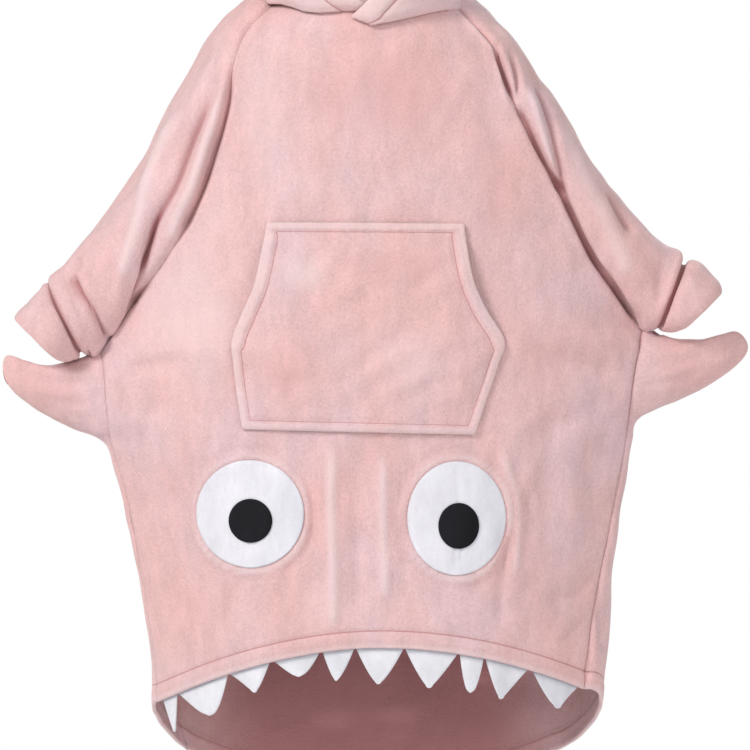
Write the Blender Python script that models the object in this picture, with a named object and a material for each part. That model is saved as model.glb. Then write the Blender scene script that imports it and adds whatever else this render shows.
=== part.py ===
"""Wearable blanket hoodie: an oversize raglan pullover of plush fleece with a high front hem, a dropped
back hem, felt teeth under the front hem, two felt eyes, a kangaroo pocket and a two-piece hood.

Metres, +Z up. The wearer faces -Y, and +X is the viewer's right. The origin lies between the shoulders,
at the foot of the neck. Cloth is a wall of constant thickness whose outer face is computed from tables of
sections: a row gives where one section starts, turns and ends.
"""

import math

import bmesh
import bpy
import numpy as np
from mathutils import Vector
from mathutils.bvhtree import BVHTree

# Driving dimensions.
CLOTH = 0.003
FELT = 0.0025
SEAM_GAP = 0.0003
RESTING_GAP = 0.0014

# Where a piece turns a corner at its seam, its own faces agree less than this with the whole surface, and
# its edge is drawn back further.
CORNER_AGREEMENT = 0.7
CORNER_GAP = 0.002

# Grid of the garment's walls.
RAGLAN_STEPS = 12
FRONT_COLUMNS = 24
BACK_COLUMNS = 14
SIDE_COLUMNS = 10
RING_COLUMNS = 18
CUFF_STEPS = 7
HOOD_STEPS = 10

# Sleeve sections from the neck down to the cuff seam. Up to the underarm a section is an arc from the front
# raglan seam over the outer line to the back raglan seam; from the underarm on it is a closed ring.
# Columns: front seam x, y, z, outer line x, y, z, back seam x, y, z, half depth of the ring, closed share.
SLEEVE_RIGHT = [
    (0.141, -0.055, -0.015, 0.137, 0.000, 0.026, 0.120, 0.055, 0.028, 0.000, 0.00),
    (0.170, -0.075, -0.046, 0.186, 0.003, -0.010, 0.150, 0.080, -0.005, 0.000, 0.00),
    (0.195, -0.088, -0.074, 0.216, 0.004, -0.042, 0.175, 0.095, -0.045, 0.000, 0.00),
    (0.208, -0.095, -0.108, 0.238, 0.004, -0.069, 0.190, 0.103, -0.085, 0.000, 0.00),
    (0.231, -0.102, -0.169, 0.270, 0.002, -0.117, 0.215, 0.110, -0.150, 0.000, 0.00),
    (0.260, -0.104, -0.228, 0.306, 0.000, -0.167, 0.245, 0.110, -0.215, 0.004, 0.05),
    (0.295, -0.100, -0.292, 0.345, -0.004, -0.235, 0.283, 0.104, -0.285, 0.010, 0.15),
    (0.342, -0.086, -0.388, 0.401, -0.010, -0.311, 0.335, 0.082, -0.385, 0.022, 0.40),
    (0.382, -0.066, -0.444, 0.449, -0.016, -0.361, 0.380, 0.044, -0.446, 0.036, 0.72),
    (0.421, -0.034, -0.493, 0.476, -0.022, -0.375, 0.421, -0.034, -0.493, 0.047, 1.00),
    (0.432, -0.034, -0.4905, 0.481, -0.024, -0.382, 0.432, -0.034, -0.4905, 0.047, 1.00),
    (0.443, -0.034, -0.489, 0.485, -0.026, -0.391, 0.443, -0.034, -0.489, 0.044, 1.00),
]
SLEEVE_LEFT = [
    (-0.133, -0.055, -0.011, -0.137, 0.000, 0.026, -0.120, 0.055, 0.028, 0.000, 0.00),
    (-0.152, -0.072, -0.030, -0.186, 0.003, -0.011, -0.150, 0.080, -0.005, 0.000, 0.00),
    (-0.173, -0.086, -0.061, -0.208, 0.004, -0.031, -0.175, 0.095, -0.045, 0.000, 0.00),
    (-0.188, -0.094, -0.108, -0.233, 0.004, -0.066, -0.190, 0.103, -0.085, 0.000, 0.00),
    (-0.194, -0.101, -0.161, -0.261, 0.002, -0.114, -0.208, 0.110, -0.150, 0.000, 0.00),
    (-0.210, -0.104, -0.224, -0.296, 0.000, -0.176, -0.232, 0.110, -0.220, 0.004, 0.05),
    (-0.236, -0.103, -0.301, -0.332, -0.004, -0.249, -0.258, 0.104, -0.300, 0.012, 0.18),
    (-0.278, -0.096, -0.379, -0.382, -0.012, -0.328, -0.290, 0.084, -0.385, 0.026, 0.45),
    (-0.325, -0.074, -0.442, -0.420, -0.020, -0.371, -0.325, 0.046, -0.450, 0.040, 0.75),
    (-0.387, -0.040, -0.527, -0.437, -0.030, -0.394, -0.387, -0.040, -0.527, 0.052, 1.00),
    (-0.401, -0.042, -0.524, -0.451, -0.036, -0.410, -0.401, -0.042, -0.524, 0.052, 1.00),
    (-0.413, -0.047, -0.521, -0.468, -0.040, -0.421, -0.413, -0.047, -0.521, 0.047, 1.00),
]
UNDERARM = 9

# Rings of the gathered cuffs, from the cuff seam out to the lip and back inside. Columns: lowest point
# x, y, z, highest point x, y, z, half depth.
CUFF_RIGHT = [
    (0.443, -0.034, -0.489, 0.485, -0.026, -0.391, 0.044),
    (0.452, -0.040, -0.491, 0.502, -0.028, -0.393, 0.054),
    (0.468, -0.042, -0.492, 0.522, -0.032, -0.409, 0.054),
    (0.483, -0.044, -0.490, 0.539, -0.036, -0.436, 0.047),
    (0.482, -0.044, -0.482, 0.530, -0.036, -0.441, 0.037),
    (0.470, -0.042, -0.474, 0.511, -0.034, -0.428, 0.034),
]
CUFF_LEFT = [
    (-0.413, -0.047, -0.521, -0.468, -0.040, -0.421, 0.047),
    (-0.420, -0.049, -0.530, -0.477, -0.043, -0.436, 0.054),
    (-0.431, -0.052, -0.538, -0.494, -0.047, -0.450, 0.056),
    (-0.446, -0.055, -0.5415, -0.514, -0.051, -0.475, 0.050),
    (-0.447, -0.055, -0.532, -0.506, -0.051, -0.480, 0.040),
    (-0.436, -0.053, -0.521, -0.489, -0.048, -0.464, 0.037),
]

# Sides of the body from the underarm to the hem, with the corner that the hand pulls out. Columns: side
# seam x, y, z, outline x, y, z, back x, y, z, roundness of the lobe (2 is an ellipse, 1 a pointed fold).
SIDE_RIGHT = [
    (0.421, -0.034, -0.493, 0.421, -0.034, -0.493, 0.421, -0.034, -0.493, 1.50),
    (0.418, -0.052, -0.508, 0.483, -0.026, -0.509, 0.410, 0.010, -0.510, 1.40),
    (0.415, -0.060, -0.525, 0.525, -0.022, -0.506, 0.402, 0.040, -0.528, 1.30),
    (0.411, -0.064, -0.543, 0.560, -0.018, -0.498, 0.396, 0.060, -0.549, 1.25),
    (0.407, -0.066, -0.567, 0.580, -0.018, -0.516, 0.390, 0.072, -0.572, 1.25),
    (0.404, -0.066, -0.588, 0.573, -0.016, -0.538, 0.386, 0.076, -0.590, 1.25),
    (0.402, -0.062, -0.605, 0.537, -0.010, -0.568, 0.382, 0.079, -0.606, 1.30),
    (0.401, -0.056, -0.619, 0.474, 0.000, -0.603, 0.378, 0.082, -0.620, 1.40),
    (0.400, -0.046, -0.632, 0.416, 0.012, -0.632, 0.374, 0.084, -0.635, 1.60),
    (0.396, -0.040, -0.660, 0.406, 0.016, -0.660, 0.368, 0.086, -0.663, 1.80),
    (0.389, -0.036, -0.700, 0.397, 0.020, -0.700, 0.358, 0.088, -0.702, 1.90),
    (0.376, -0.038, -0.768, 0.385, 0.022, -0.768, 0.345, 0.092, -0.770, 2.00),
    (0.359, -0.050, -0.843, 0.375, 0.022, -0.846, 0.336, 0.100, -0.852, 2.00),
    (0.345, -0.055, -0.922, 0.373, 0.022, -0.930, 0.332, 0.106, -0.945, 2.00),
    (0.336, -0.055, -0.986, 0.368, 0.026, -0.992, 0.322, 0.114, -1.036, 2.00),
    (0.333, -0.052, -1.028, 0.368, 0.030, -1.040, 0.300, 0.122, -1.135, 2.00),
]
SIDE_LEFT = [
    (-0.387, -0.040, -0.527, -0.387, -0.040, -0.527, -0.387, -0.040, -0.527, 1.50),
    (-0.384, -0.052, -0.538, -0.425, -0.028, -0.544, -0.377, 0.008, -0.541, 1.40),
    (-0.382, -0.060, -0.551, -0.462, -0.026, -0.550, -0.370, 0.038, -0.556, 1.30),
    (-0.380, -0.066, -0.566, -0.498, -0.022, -0.543, -0.364, 0.062, -0.575, 1.25),
    (-0.379, -0.066, -0.583, -0.527, -0.020, -0.533, -0.360, 0.070, -0.590, 1.25),
    (-0.378, -0.064, -0.602, -0.535, -0.020, -0.552, -0.357, 0.074, -0.607, 1.25),
    (-0.376, -0.062, -0.619, -0.526, -0.018, -0.580, -0.354, 0.078, -0.622, 1.25),
    (-0.375, -0.058, -0.634, -0.490, -0.008, -0.612, -0.351, 0.080, -0.636, 1.30),
    (-0.373, -0.050, -0.648, -0.434, 0.004, -0.643, -0.348, 0.082, -0.650, 1.50),
    (-0.371, -0.040, -0.664, -0.381, 0.016, -0.665, -0.345, 0.084, -0.668, 1.70),
    (-0.357, -0.031, -0.712, -0.363, 0.024, -0.712, -0.335, 0.088, -0.715, 1.90),
    (-0.340, -0.028, -0.780, -0.345, 0.028, -0.780, -0.321, 0.092, -0.782, 2.00),
    (-0.327, -0.023, -0.855, -0.331, 0.032, -0.855, -0.310, 0.098, -0.862, 2.00),
    (-0.317, -0.020, -0.930, -0.319, 0.036, -0.931, -0.300, 0.106, -0.948, 2.00),
    (-0.309, -0.018, -0.996, -0.310, 0.040, -0.999, -0.288, 0.114, -1.040, 2.00),
    (-0.305, -0.018, -1.050, -0.307, 0.044, -1.054, -0.263, 0.122, -1.135, 2.00),
]

# Front and back panels at their centre line, a row for each section from the neck to the hem. Columns:
# front y, rise of the front's centre, squareness of the front, back y, rise of the back's centre,
# squareness of the back.
CENTRE = [
    (-0.115, 0.004, 2.0, 0.092, 0.004, 2.0),
    (-0.122, -0.008, 2.0, 0.104, 0.004, 2.0),
    (-0.126, -0.012, 2.0, 0.114, 0.003, 2.0),
    (-0.129, -0.011, 2.0, 0.121, 0.002, 2.2),
    (-0.134, -0.008, 2.2, 0.127, 0.000, 2.4),
    (-0.139, -0.003, 2.4, 0.129, 0.000, 2.5),
    (-0.144, 0.000, 2.5, 0.130, 0.000, 2.9),
    (-0.149, 0.000, 2.6, 0.130, 0.000, 3.6),
    (-0.152, 0.000, 3.0, 0.130, 0.000, 5.0),
    (-0.154, 0.000, 3.6, 0.131, 0.000, 7.0),
    (-0.154, 0.000, 3.4, 0.131, 0.000, 6.0),
    (-0.154, 0.000, 3.0, 0.132, 0.000, 4.6),
    (-0.154, 0.000, 2.7, 0.132, 0.000, 3.6),
    (-0.154, 0.000, 2.5, 0.133, 0.000, 2.8),
    (-0.154, 0.000, 2.6, 0.134, 0.000, 2.2),
    (-0.154, 0.000, 2.7, 0.135, 0.000, 2.0),
    (-0.154, 0.000, 2.8, 0.136, 0.000, 2.0),
    (-0.154, 0.000, 3.0, 0.137, 0.000, 2.0),
    (-0.153, 0.001, 3.1, 0.138, 0.000, 2.0),
    (-0.153, 0.003, 3.2, 0.141, 0.000, 2.0),
    (-0.152, 0.007, 3.3, 0.146, -0.002, 2.0),
    (-0.152, 0.015, 3.3, 0.151, -0.006, 2.0),
    (-0.151, 0.030, 3.2, 0.156, -0.016, 2.0),
    (-0.151, 0.050, 3.2, 0.160, -0.034, 2.0),
    (-0.150, 0.078, 3.2, 0.162, -0.064, 2.0),
]


def between(table, row):
    """The table's row at a fractional position, on a smooth curve through its rows."""
    rows = np.asarray(table, float)
    low = int(min(max(math.floor(row), 0), len(rows) - 2))
    share = row - low
    start, end = rows[low], rows[low + 1]
    before = rows[low - 1] if low > 0 else 2 * start - end
    after = rows[low + 2] if low + 2 < len(rows) else 2 * end - start
    lead_in, lead_out = (end - before) / 2, (after - start) / 2
    return (
        start * (2 * share**3 - 3 * share**2 + 1)
        + lead_in * (share**3 - 2 * share**2 + share)
        + end * (3 * share**2 - 2 * share**3)
        + lead_out * (share**3 - share**2)
    )


def sleeve_point(table, row, turn):
    """A point of a sleeve section, turn 0 at the front seam, 0.5 on the outer line, 1 at the back seam."""
    values = between(table, row)
    front, outer, back = values[0:3], values[3:6], values[6:9]
    depth, closed = values[9], min(max(values[10], 0.0), 1.0)
    if row >= UNDERARM:
        back, closed = front, 1.0
    centre, half = (front + back) / 2, (front - back) / 2
    angle = math.pi * turn
    reach = (1 - closed) * math.sin(angle) + closed * (1 - math.cos(2 * angle)) / 2
    point = centre + (outer - centre) * reach + half * math.cos(angle)
    point[1] -= depth * math.sin(2 * angle)
    return point


def cuff_point(table, row, turn):
    """A point of a cuff ring, turn 0 and 1 at its lowest point, 0.25 at the front, 0.5 at the top."""
    values = between(table, row)
    lowest, highest, depth = values[0:3], values[3:6], values[6]
    angle = 2 * math.pi * turn
    point = lowest + (highest - lowest) * (1 - math.cos(angle)) / 2
    point[1] -= depth * math.sin(angle)
    return point


def signed_power(value, power):
    return math.copysign(abs(value) ** power, value)


def side_point(table, row, turn):
    """A point of the body's side, turn 0 at the side seam, 0.5 on the outline, 1 at the back panel."""
    values = between(table, row)
    seam, outline, back, roundness = values[0:3], values[3:6], values[6:9], values[9]
    if row <= 0:
        return seam.copy()
    centre, half = (seam + back) / 2, (seam - back) / 2
    angle, power = math.pi * turn, 2 / roundness
    reach = signed_power(math.sin(angle), power)
    return centre + (outline - centre) * reach + half * signed_power(math.cos(angle), power)


def edge_point(sleeve, side, row, back):
    """Where a panel's edge lies at a row counted from the neck: a raglan seam, then the side seam."""
    if row <= UNDERARM:
        return sleeve_point(sleeve, row, 1.0 if back else 0.0)
    return side_point(side, row - UNDERARM, 1.0 if back else 0.0)


def panel_point(row, across, back):
    """A point of the front or back panel, across from -1 at its left edge to 1 at its right edge."""
    left = edge_point(SLEEVE_LEFT, SIDE_LEFT, row, back)
    right = edge_point(SLEEVE_RIGHT, SIDE_RIGHT, row, back)
    depth, rise, square = between(CENTRE, row)[3 if back else 0 :][:3]
    share = (across + 1) / 2
    point = left * (1 - share) + right * share
    bow = 1 - abs(across) ** square
    point[1] += (depth - point[1]) * bow
    point[2] += rise * (1 - across**2)
    return point


# Sections of a hood half, from the face edge round to the nape, seen as the right half. Columns: place of
# the foot round the neck (0 front centre, 1 nape), cheek x, y, z, side x, y, z, temple x, y, z, centre
# seam y, z.
HOOD = [
    (-0.055, 0.040, -0.136, 0.014, 0.112, -0.120, 0.116, 0.082, -0.112, 0.226, -0.112, 0.272),
    (0.070, 0.082, -0.133, 0.024, 0.136, -0.094, 0.132, 0.094, -0.080, 0.256, -0.080, 0.304),
    (0.180, 0.122, -0.116, 0.036, 0.151, -0.062, 0.148, 0.102, -0.040, 0.279, -0.036, 0.326),
    (0.290, 0.149, -0.080, 0.050, 0.157, -0.022, 0.158, 0.104, 0.008, 0.286, 0.014, 0.332),
    (0.410, 0.160, -0.034, 0.064, 0.157, 0.020, 0.158, 0.102, 0.058, 0.270, 0.066, 0.314),
    (0.520, 0.161, 0.014, 0.078, 0.150, 0.064, 0.152, 0.094, 0.106, 0.236, 0.116, 0.274),
    (0.640, 0.146, 0.060, 0.078, 0.133, 0.102, 0.135, 0.080, 0.142, 0.190, 0.152, 0.218),
    (0.760, 0.112, 0.092, 0.066, 0.102, 0.126, 0.106, 0.058, 0.155, 0.140, 0.163, 0.156),
    (0.880, 0.061, 0.106, 0.051, 0.056, 0.127, 0.072, 0.031, 0.143, 0.089, 0.147, 0.097),
    (1.000, 0.000, 0.099, 0.026, 0.000, 0.099, 0.026, 0.000, 0.099, 0.026, 0.099, 0.026),
]
HOOD_GAP = 0.0014

# How far down the body the hood's foot lies. Columns: place round the neck, row of the body's sections.
HOOD_FOOT_LEFT = [(0.00, 0.46), (0.10, 0.48), (0.20, 0.48), (0.25, 0.44), (0.33, 0.30), (0.41, 0.24)]
HOOD_FOOT_RIGHT = [(-0.055, 0.80), (0.02, 1.10), (0.12, 0.85), (0.22, 0.60), (0.32, 0.38), (0.41, 0.24)]

# Places round the neck: where the front panel ends and the back panel starts, and the bend of the shoulder,
# over which the hood's foot is lifted.
FRONT_SHARE = 0.41
BACK_SHARE = 0.64
SHOULDER_PLACE = 0.61
SHOULDER_REACH = 0.06
SHOULDER_LIFT = 0.0028

# The right front corner of the hood, which laps over the left one.
LAPEL_LIFT = 0.0048
LAPEL_REACH = 0.05
LAPEL_FLAT = 1.6

# Kangaroo pocket, its rows from the top seam to the bottom seam. Columns: left x, z, right x, z.
POCKET = [
    (-0.135, -0.340, 0.152, -0.342),
    (-0.143, -0.383, 0.157, -0.380),
    (-0.154, -0.433, 0.166, -0.425),
    (-0.171, -0.473, 0.184, -0.466),
    (-0.186, -0.512, 0.211, -0.512),
    (-0.184, -0.545, 0.203, -0.545),
    (-0.179, -0.590, 0.188, -0.590),
    (-0.171, -0.641, 0.168, -0.649),
]
POCKET_STEPS = 12
POCKET_COLUMNS = 14
POCKET_BULGE = 0.015
POCKET_GAPE = 0.011
HAND_OPENING = (0.07, 0.55)

# Felt eyes. Columns: centre x, z, half width, half height, pupil centre x, z, pupil half width, half height.
EYES = {
    "left": (-0.161, -0.766, 0.0797, 0.0790, -0.160, -0.776, 0.0322, 0.0322),
    "right": (0.142, -0.772, 0.0724, 0.0834, 0.145, -0.783, 0.0300, 0.0336),
}
EYE_GRID = (4, 24)
PUPIL_GRID = (3, 18)

# Felt teeth behind the front hem. Columns: left corner x, right corner x, tip x, tip z, bend of the sides
# (1 is a straight side, less is a fuller one).
TEETH = [
    (-0.2944, -0.2720, -0.2756, -1.0947, 0.80),
    (-0.2705, -0.1945, -0.2211, -1.0653, 0.52),
    (-0.1923, -0.1322, -0.1539, -1.0291, 0.80),
    (-0.1264, -0.0586, -0.0894, -1.0047, 0.62),
    (-0.0543, -0.0080, -0.0347, -1.0103, 0.70),
    (-0.0053, 0.0646, 0.0270, -1.0156, 0.72),
    (0.0664, 0.1442, 0.1014, -1.0207, 0.78),
    (0.1469, 0.1820, 0.1619, -1.0286, 0.45),
    (0.1846, 0.2480, 0.2070, -1.0392, 0.80),
    (0.2552, 0.3246, 0.2933, -1.0559, 0.82),
]
TOOTH_ROOT = 0.016
TOOTH_GAP = 0.0006
TOOTH_ROWS = 5
TOOTH_COLUMNS = 3
TOOTH_TAPER = 1.5
TOOTH_POINT = 0.06

# Folds, as lines seen from the front. Columns: side (-1 front, 1 back), start x, z, middle x, z, end x, z,
# depth (a ridge is negative), half width.
FOLDS = [
    (-1, -0.206, -0.084, -0.258, -0.248, -0.337, -0.455, 0.014, 0.016),
    (-1, -0.285, -0.190, -0.318, -0.315, -0.345, -0.430, -0.006, 0.018),
    (-1, 0.225, -0.075, 0.234, -0.125, 0.238, -0.175, 0.008, 0.013),
    (-1, 0.254, -0.113, 0.277, -0.195, 0.300, -0.300, 0.014, 0.016),
    (-1, 0.358, -0.274, 0.383, -0.327, 0.405, -0.375, 0.008, 0.014),
    (-1, 0.216, -0.242, 0.266, -0.306, 0.335, -0.385, 0.006, 0.018),
    (-1, -0.040, -0.640, -0.040, -0.770, -0.042, -0.905, -0.005, 0.016),
    (-1, 0.034, -0.660, 0.036, -0.770, 0.038, -0.900, -0.005, 0.016),
    (-1, -0.007, -0.660, -0.005, -0.780, -0.003, -0.895, 0.004, 0.018),
    (-1, 0.222, -0.800, 0.224, -0.860, 0.218, -0.925, 0.006, 0.020),
    (-1, 0.337, -0.850, 0.328, -0.890, 0.314, -0.930, 0.006, 0.018),
    (-1, -0.262, -0.700, -0.270, -0.800, -0.262, -0.920, 0.005, 0.022),
    (1, -0.190, -0.120, -0.255, -0.290, -0.330, -0.450, 0.012, 0.022),
    (1, 0.195, -0.110, 0.265, -0.290, 0.350, -0.445, 0.013, 0.022),
    (1, -0.110, -0.250, -0.130, -0.560, -0.150, -0.900, 0.010, 0.036),
    (1, 0.050, -0.400, 0.040, -0.700, 0.055, -1.080, 0.010, 0.040),
    (1, 0.190, -0.480, 0.200, -0.740, 0.185, -1.020, 0.011, 0.034),
    (1, -0.030, -0.620, -0.045, -0.840, -0.040, -1.090, 0.008, 0.034),
    (1, -0.360, -0.560, -0.250, -0.590, -0.130, -0.640, 0.009, 0.026),
    (1, 0.385, -0.540, 0.270, -0.575, 0.150, -0.620, 0.010, 0.026),
]

COLOURS = {
    "fleece": ((0.75, 0.50, 0.48, 1), 0.95),
    "white": ((0.88, 0.88, 0.90, 1), 0.9),
    "black": ((0.012, 0.012, 0.014, 1), 0.85),
}


def blend(share, start, end):
    return start + (end - start) * share


def fold_line(fold, steps=12):
    """Points of a fold, seen from the front, on a curve through its start, middle and end."""
    rows = [fold[1:3], fold[3:5], fold[5:7]]
    return [between(rows, 2 * i / steps) for i in range(steps + 1)]


FOLD_LINES = [(fold[0], fold_line(fold), fold[7], fold[8]) for fold in FOLDS]


def fold_depth(side, x, z):
    """How far the folds of one side press the garment in at a point seen from the front."""
    depth = 0.0
    for own_side, line, deep, wide in FOLD_LINES:
        if own_side != side:
            continue
        nearest = 1.0
        for start, end in zip(line, line[1:]):
            run = end - start
            along = np.dot(np.array((x, z)) - start, run) / np.dot(run, run)
            foot = start + run * min(max(along, 0.0), 1.0)
            nearest = min(nearest, math.hypot(x - foot[0], z - foot[1]))
        depth += deep * math.exp(-((nearest / wide) ** 2))
    return depth


def clear_scene():
    for item in list(bpy.data.objects):
        bpy.data.objects.remove(item, do_unlink=True)


def material(name, kind):
    """A matt cloth material of its own for one sub-part."""
    colour, rough = COLOURS[kind]
    made = bpy.data.materials.new(name)
    made.use_nodes = True
    shader = made.node_tree.nodes["Principled BSDF"]
    shader.inputs["Base Color"].default_value = colour
    shader.inputs["Roughness"].default_value = rough
    shader.inputs["Metallic"].default_value = 0.0
    return made


def in_triangles(points, faces):
    """Each four-sided face as two triangles, parted along its shorter diagonal."""
    triangles = []
    for face in faces:
        if len(face) == 3:
            triangles.append(face)
            continue
        a, b, c, d = face
        if (Vector(points[a]) - Vector(points[c])).length <= (Vector(points[b]) - Vector(points[d])).length:
            triangles += [[a, b, c], [a, c, d]]
        else:
            triangles += [[b, c, d], [b, d, a]]
    return triangles


def add_solid(name, outer, inner, faces, kind):
    """One closed wall from two layers of points, its rim along the faces' free edges."""
    faces = in_triangles(outer, faces)
    shape = bmesh.new()
    top = [shape.verts.new(point) for point in outer]
    base = [shape.verts.new(point) for point in inner]
    edges = {}
    for face in faces:
        shape.faces.new([top[i] for i in face])
        shape.faces.new([base[i] for i in reversed(face)])
        for start, end in zip(face, face[1:] + face[:1]):
            edges[start, end] = True
    for start, end in edges:
        if (end, start) not in edges:
            shape.faces.new([top[end], top[start], base[start], base[end]])
    bmesh.ops.triangulate(shape, faces=shape.faces[:], quad_method="SHORT_EDGE")
    bmesh.ops.recalc_face_normals(shape, faces=shape.faces[:])
    mesh = bpy.data.meshes.new(name)
    shape.to_mesh(mesh)
    shape.free()
    mesh.shade_smooth()
    mesh.set_sharp_from_angle(angle=math.radians(50))
    item = bpy.data.objects.new(name, mesh)
    bpy.context.scene.collection.objects.link(item)
    mesh.materials.append(material(name, kind))
    return item


def sewn_surface(patches):
    """One surface from grids of points, welded where they meet; a face's material is its piece's number."""
    names = sorted({name for name, _ in patches})
    surface = bmesh.new()
    known = {}

    def vertex(point):
        key = tuple(np.round(point, 5))
        if key not in known:
            known[key] = surface.verts.new(point)
        return known[key]

    for name, grid in patches:
        for row, following in zip(grid, grid[1:]):
            for i in range(len(row) - 1):
                corners = [vertex(p) for p in (row[i], row[i + 1], following[i + 1], following[i])]
                ring = [c for k, c in enumerate(corners) if c is not corners[k - 1]]
                if len(set(ring)) >= 3:
                    surface.faces.new(ring).material_index = names.index(name)
    bmesh.ops.recalc_face_normals(surface, faces=surface.faces[:])
    surface.normal_update()
    foremost = min(surface.verts, key=lambda v: v.co.y)
    if foremost.normal.y > 0:
        bmesh.ops.reverse_faces(surface, faces=surface.faces[:])
    surface.normal_update()
    return surface, names


def press_folds(surface):
    """Move a sewn surface in where its folds run."""
    surface.normal_update()
    moves = []
    for vertex in surface.verts:
        side = -1 if vertex.normal.y < 0 else 1
        depth = fold_depth(side, vertex.co.x, vertex.co.z) * min(1.0, abs(vertex.normal.y) * 2)
        free = 1.0 if not vertex.is_boundary else 0.0
        moves.append((vertex, vertex.normal * depth * free))
    for vertex, move in moves:
        vertex.co -= move
    surface.normal_update()


def piece_layers(surface, number, cloth):
    """Outer and inner points and faces of one piece, its sewn edges drawn back from the seams."""
    own = [face for face in surface.faces if face.material_index == number]
    verts = sorted({v for face in own for v in face.verts}, key=lambda v: v.index)
    place = {v: i for i, v in enumerate(verts)}
    own_set = set(own)
    outer, inner = [], []
    for vertex in verts:
        faces = [face for face in vertex.link_faces if face in own_set]
        own_normal = sum((face.normal * face.calc_area() for face in faces), Vector()).normalized()
        shared = len(faces) < len(vertex.link_faces)
        corner = shared and own_normal.dot(vertex.normal) < CORNER_AGREEMENT
        normal = own_normal if corner or not shared else vertex.normal
        point = vertex.co.copy()
        if shared:
            point += draw_back(vertex, faces, own_set, normal) * (CORNER_GAP if corner else SEAM_GAP * 0.6)
        outer.append(point)
        inner.append(point - normal * cloth)
    return outer, inner, [[place[v] for v in face.verts] for face in own]


def draw_back(vertex, faces, own, normal):
    """The direction, in the surface, that takes a vertex away from the seams of its piece."""
    away = Vector()
    for edge in vertex.link_edges:
        inside = [face for face in edge.link_faces if face in own]
        if len(inside) != 1 or len(edge.link_faces) < 2:
            continue
        along = (edge.other_vert(vertex).co - vertex.co).normalized()
        toward = inside[0].calc_center_median() - vertex.co
        square = toward - along * toward.dot(along)
        square -= normal * square.dot(normal)
        away += square.normalized()
    if away.length < 1e-6:
        away = sum((face.calc_center_median() - vertex.co for face in faces), Vector())
    return away.normalized()


def grid_of(point, rows, columns):
    return [[point(row, column) for column in columns] for row in rows]


def even(steps, start=0.0, end=1.0):
    return [start + (end - start) * i / steps for i in range(steps + 1)]


RAGLAN_ROWS = even(RAGLAN_STEPS, 0, UNDERARM)
SIDE_ROWS = list(range(len(SIDE_RIGHT)))
BODY_ROWS = RAGLAN_ROWS + [UNDERARM + row for row in SIDE_ROWS[1:]]


def garment_patches():
    """Grids of outer points of the body, sleeves and cuffs, each with the name of its piece."""
    rings = even(RING_COLUMNS)
    sides = (("left", SIDE_LEFT, SLEEVE_LEFT, CUFF_LEFT), ("right", SIDE_RIGHT, SLEEVE_RIGHT, CUFF_RIGHT))
    patches = [
        ("front_panel", grid_of(lambda r, a: panel_point(r, a, False), BODY_ROWS, even(FRONT_COLUMNS, -1))),
        ("back_panel", grid_of(lambda r, a: panel_point(r, a, True), BODY_ROWS, even(BACK_COLUMNS, -1))),
    ]
    for name, side, sleeve, cuff in sides:
        sleeve_rows = RAGLAN_ROWS + list(range(UNDERARM + 1, len(sleeve)))
        cuff_rows = even(CUFF_STEPS, 0, len(cuff) - 1)
        patches += [
            ("back_panel", grid_of(lambda r, t: side_point(side, r, t), SIDE_ROWS, even(SIDE_COLUMNS))),
            (f"sleeve_{name}", grid_of(lambda r, t: sleeve_point(sleeve, r, t), sleeve_rows, rings)),
            (f"cuff_{name}", grid_of(lambda r, t: cuff_point(cuff, r, t), cuff_rows, rings)),
        ]
    return patches


def collar_point(around, row, mirror):
    """A point of the body's outer face near the neck, at a place round it and rows down from its edge."""
    toward = -1 if mirror else 1
    if around < FRONT_SHARE:
        return panel_point(row, toward * around / FRONT_SHARE, False)
    if around > BACK_SHARE:
        return panel_point(row, toward * (1 - around) / (1 - BACK_SHARE), True)
    turn = (around - FRONT_SHARE) / (BACK_SHARE - FRONT_SHARE)
    return sleeve_point(SLEEVE_LEFT if mirror else SLEEVE_RIGHT, row, turn)


def hood_foot(around, mirror, row, stand):
    """Where a hood half is sewn: off the body's outer face by the hood's own thickness and a small gap."""
    point = collar_point(around, row, mirror)
    step = 0.01
    beside = collar_point(around + step, row, mirror) - collar_point(around - step, row, mirror)
    below = collar_point(around, row + step * 4, mirror) - collar_point(around, row - step * 4, mirror)
    out = np.cross(beside, below)
    out /= np.linalg.norm(out)
    if np.dot(out, point + np.array((0, 0, 0.05))) < 0:
        out = -out
    return point + out * stand


def hood_point(row, rise, mirror):
    """A point of a hood half, rise 0 at the foot and 4 on the centre seam."""
    values = between(HOOD, row)
    side_way = np.array((-1 if mirror else 1, 1, 1))
    places, downs = np.array(HOOD_FOOT_LEFT if mirror else HOOD_FOOT_RIGHT).T
    drop = np.interp(values[0], places, downs)
    bend = math.exp(-(((values[0] - SHOULDER_PLACE) / SHOULDER_REACH) ** 2))
    foot = hood_foot(values[0], mirror, drop, CLOTH + HOOD_GAP + SHOULDER_LIFT * bend)
    if row >= len(HOOD) - 1:
        return foot
    cheek, side, temple = (values[i : i + 3] * side_way for i in (1, 4, 7))
    seam = np.array((0.0, values[10], values[11]))
    beyond = temple * np.array((-1, 1, 1))
    point = between([foot, cheek, side, temple, seam, beyond], rise)
    if rise >= 4:
        point[0] = 0.0
    if not mirror:
        close = math.exp(-((math.hypot(point[0], point[2] + 0.02) / LAPEL_REACH) ** 2))
        point[1] -= LAPEL_LIFT * min(1.0, LAPEL_FLAT * close)
    return point


def hood_patches():
    rows = even(2 * (len(HOOD) - 1), 0, len(HOOD) - 1)
    rises = even(HOOD_STEPS, 0, 4)
    return [
        ("hood_left", grid_of(lambda r, t: hood_point(r, t, True), rows, rises)),
        ("hood_right", grid_of(lambda r, t: hood_point(r, t, False), rows, rises)),
    ]


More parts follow.
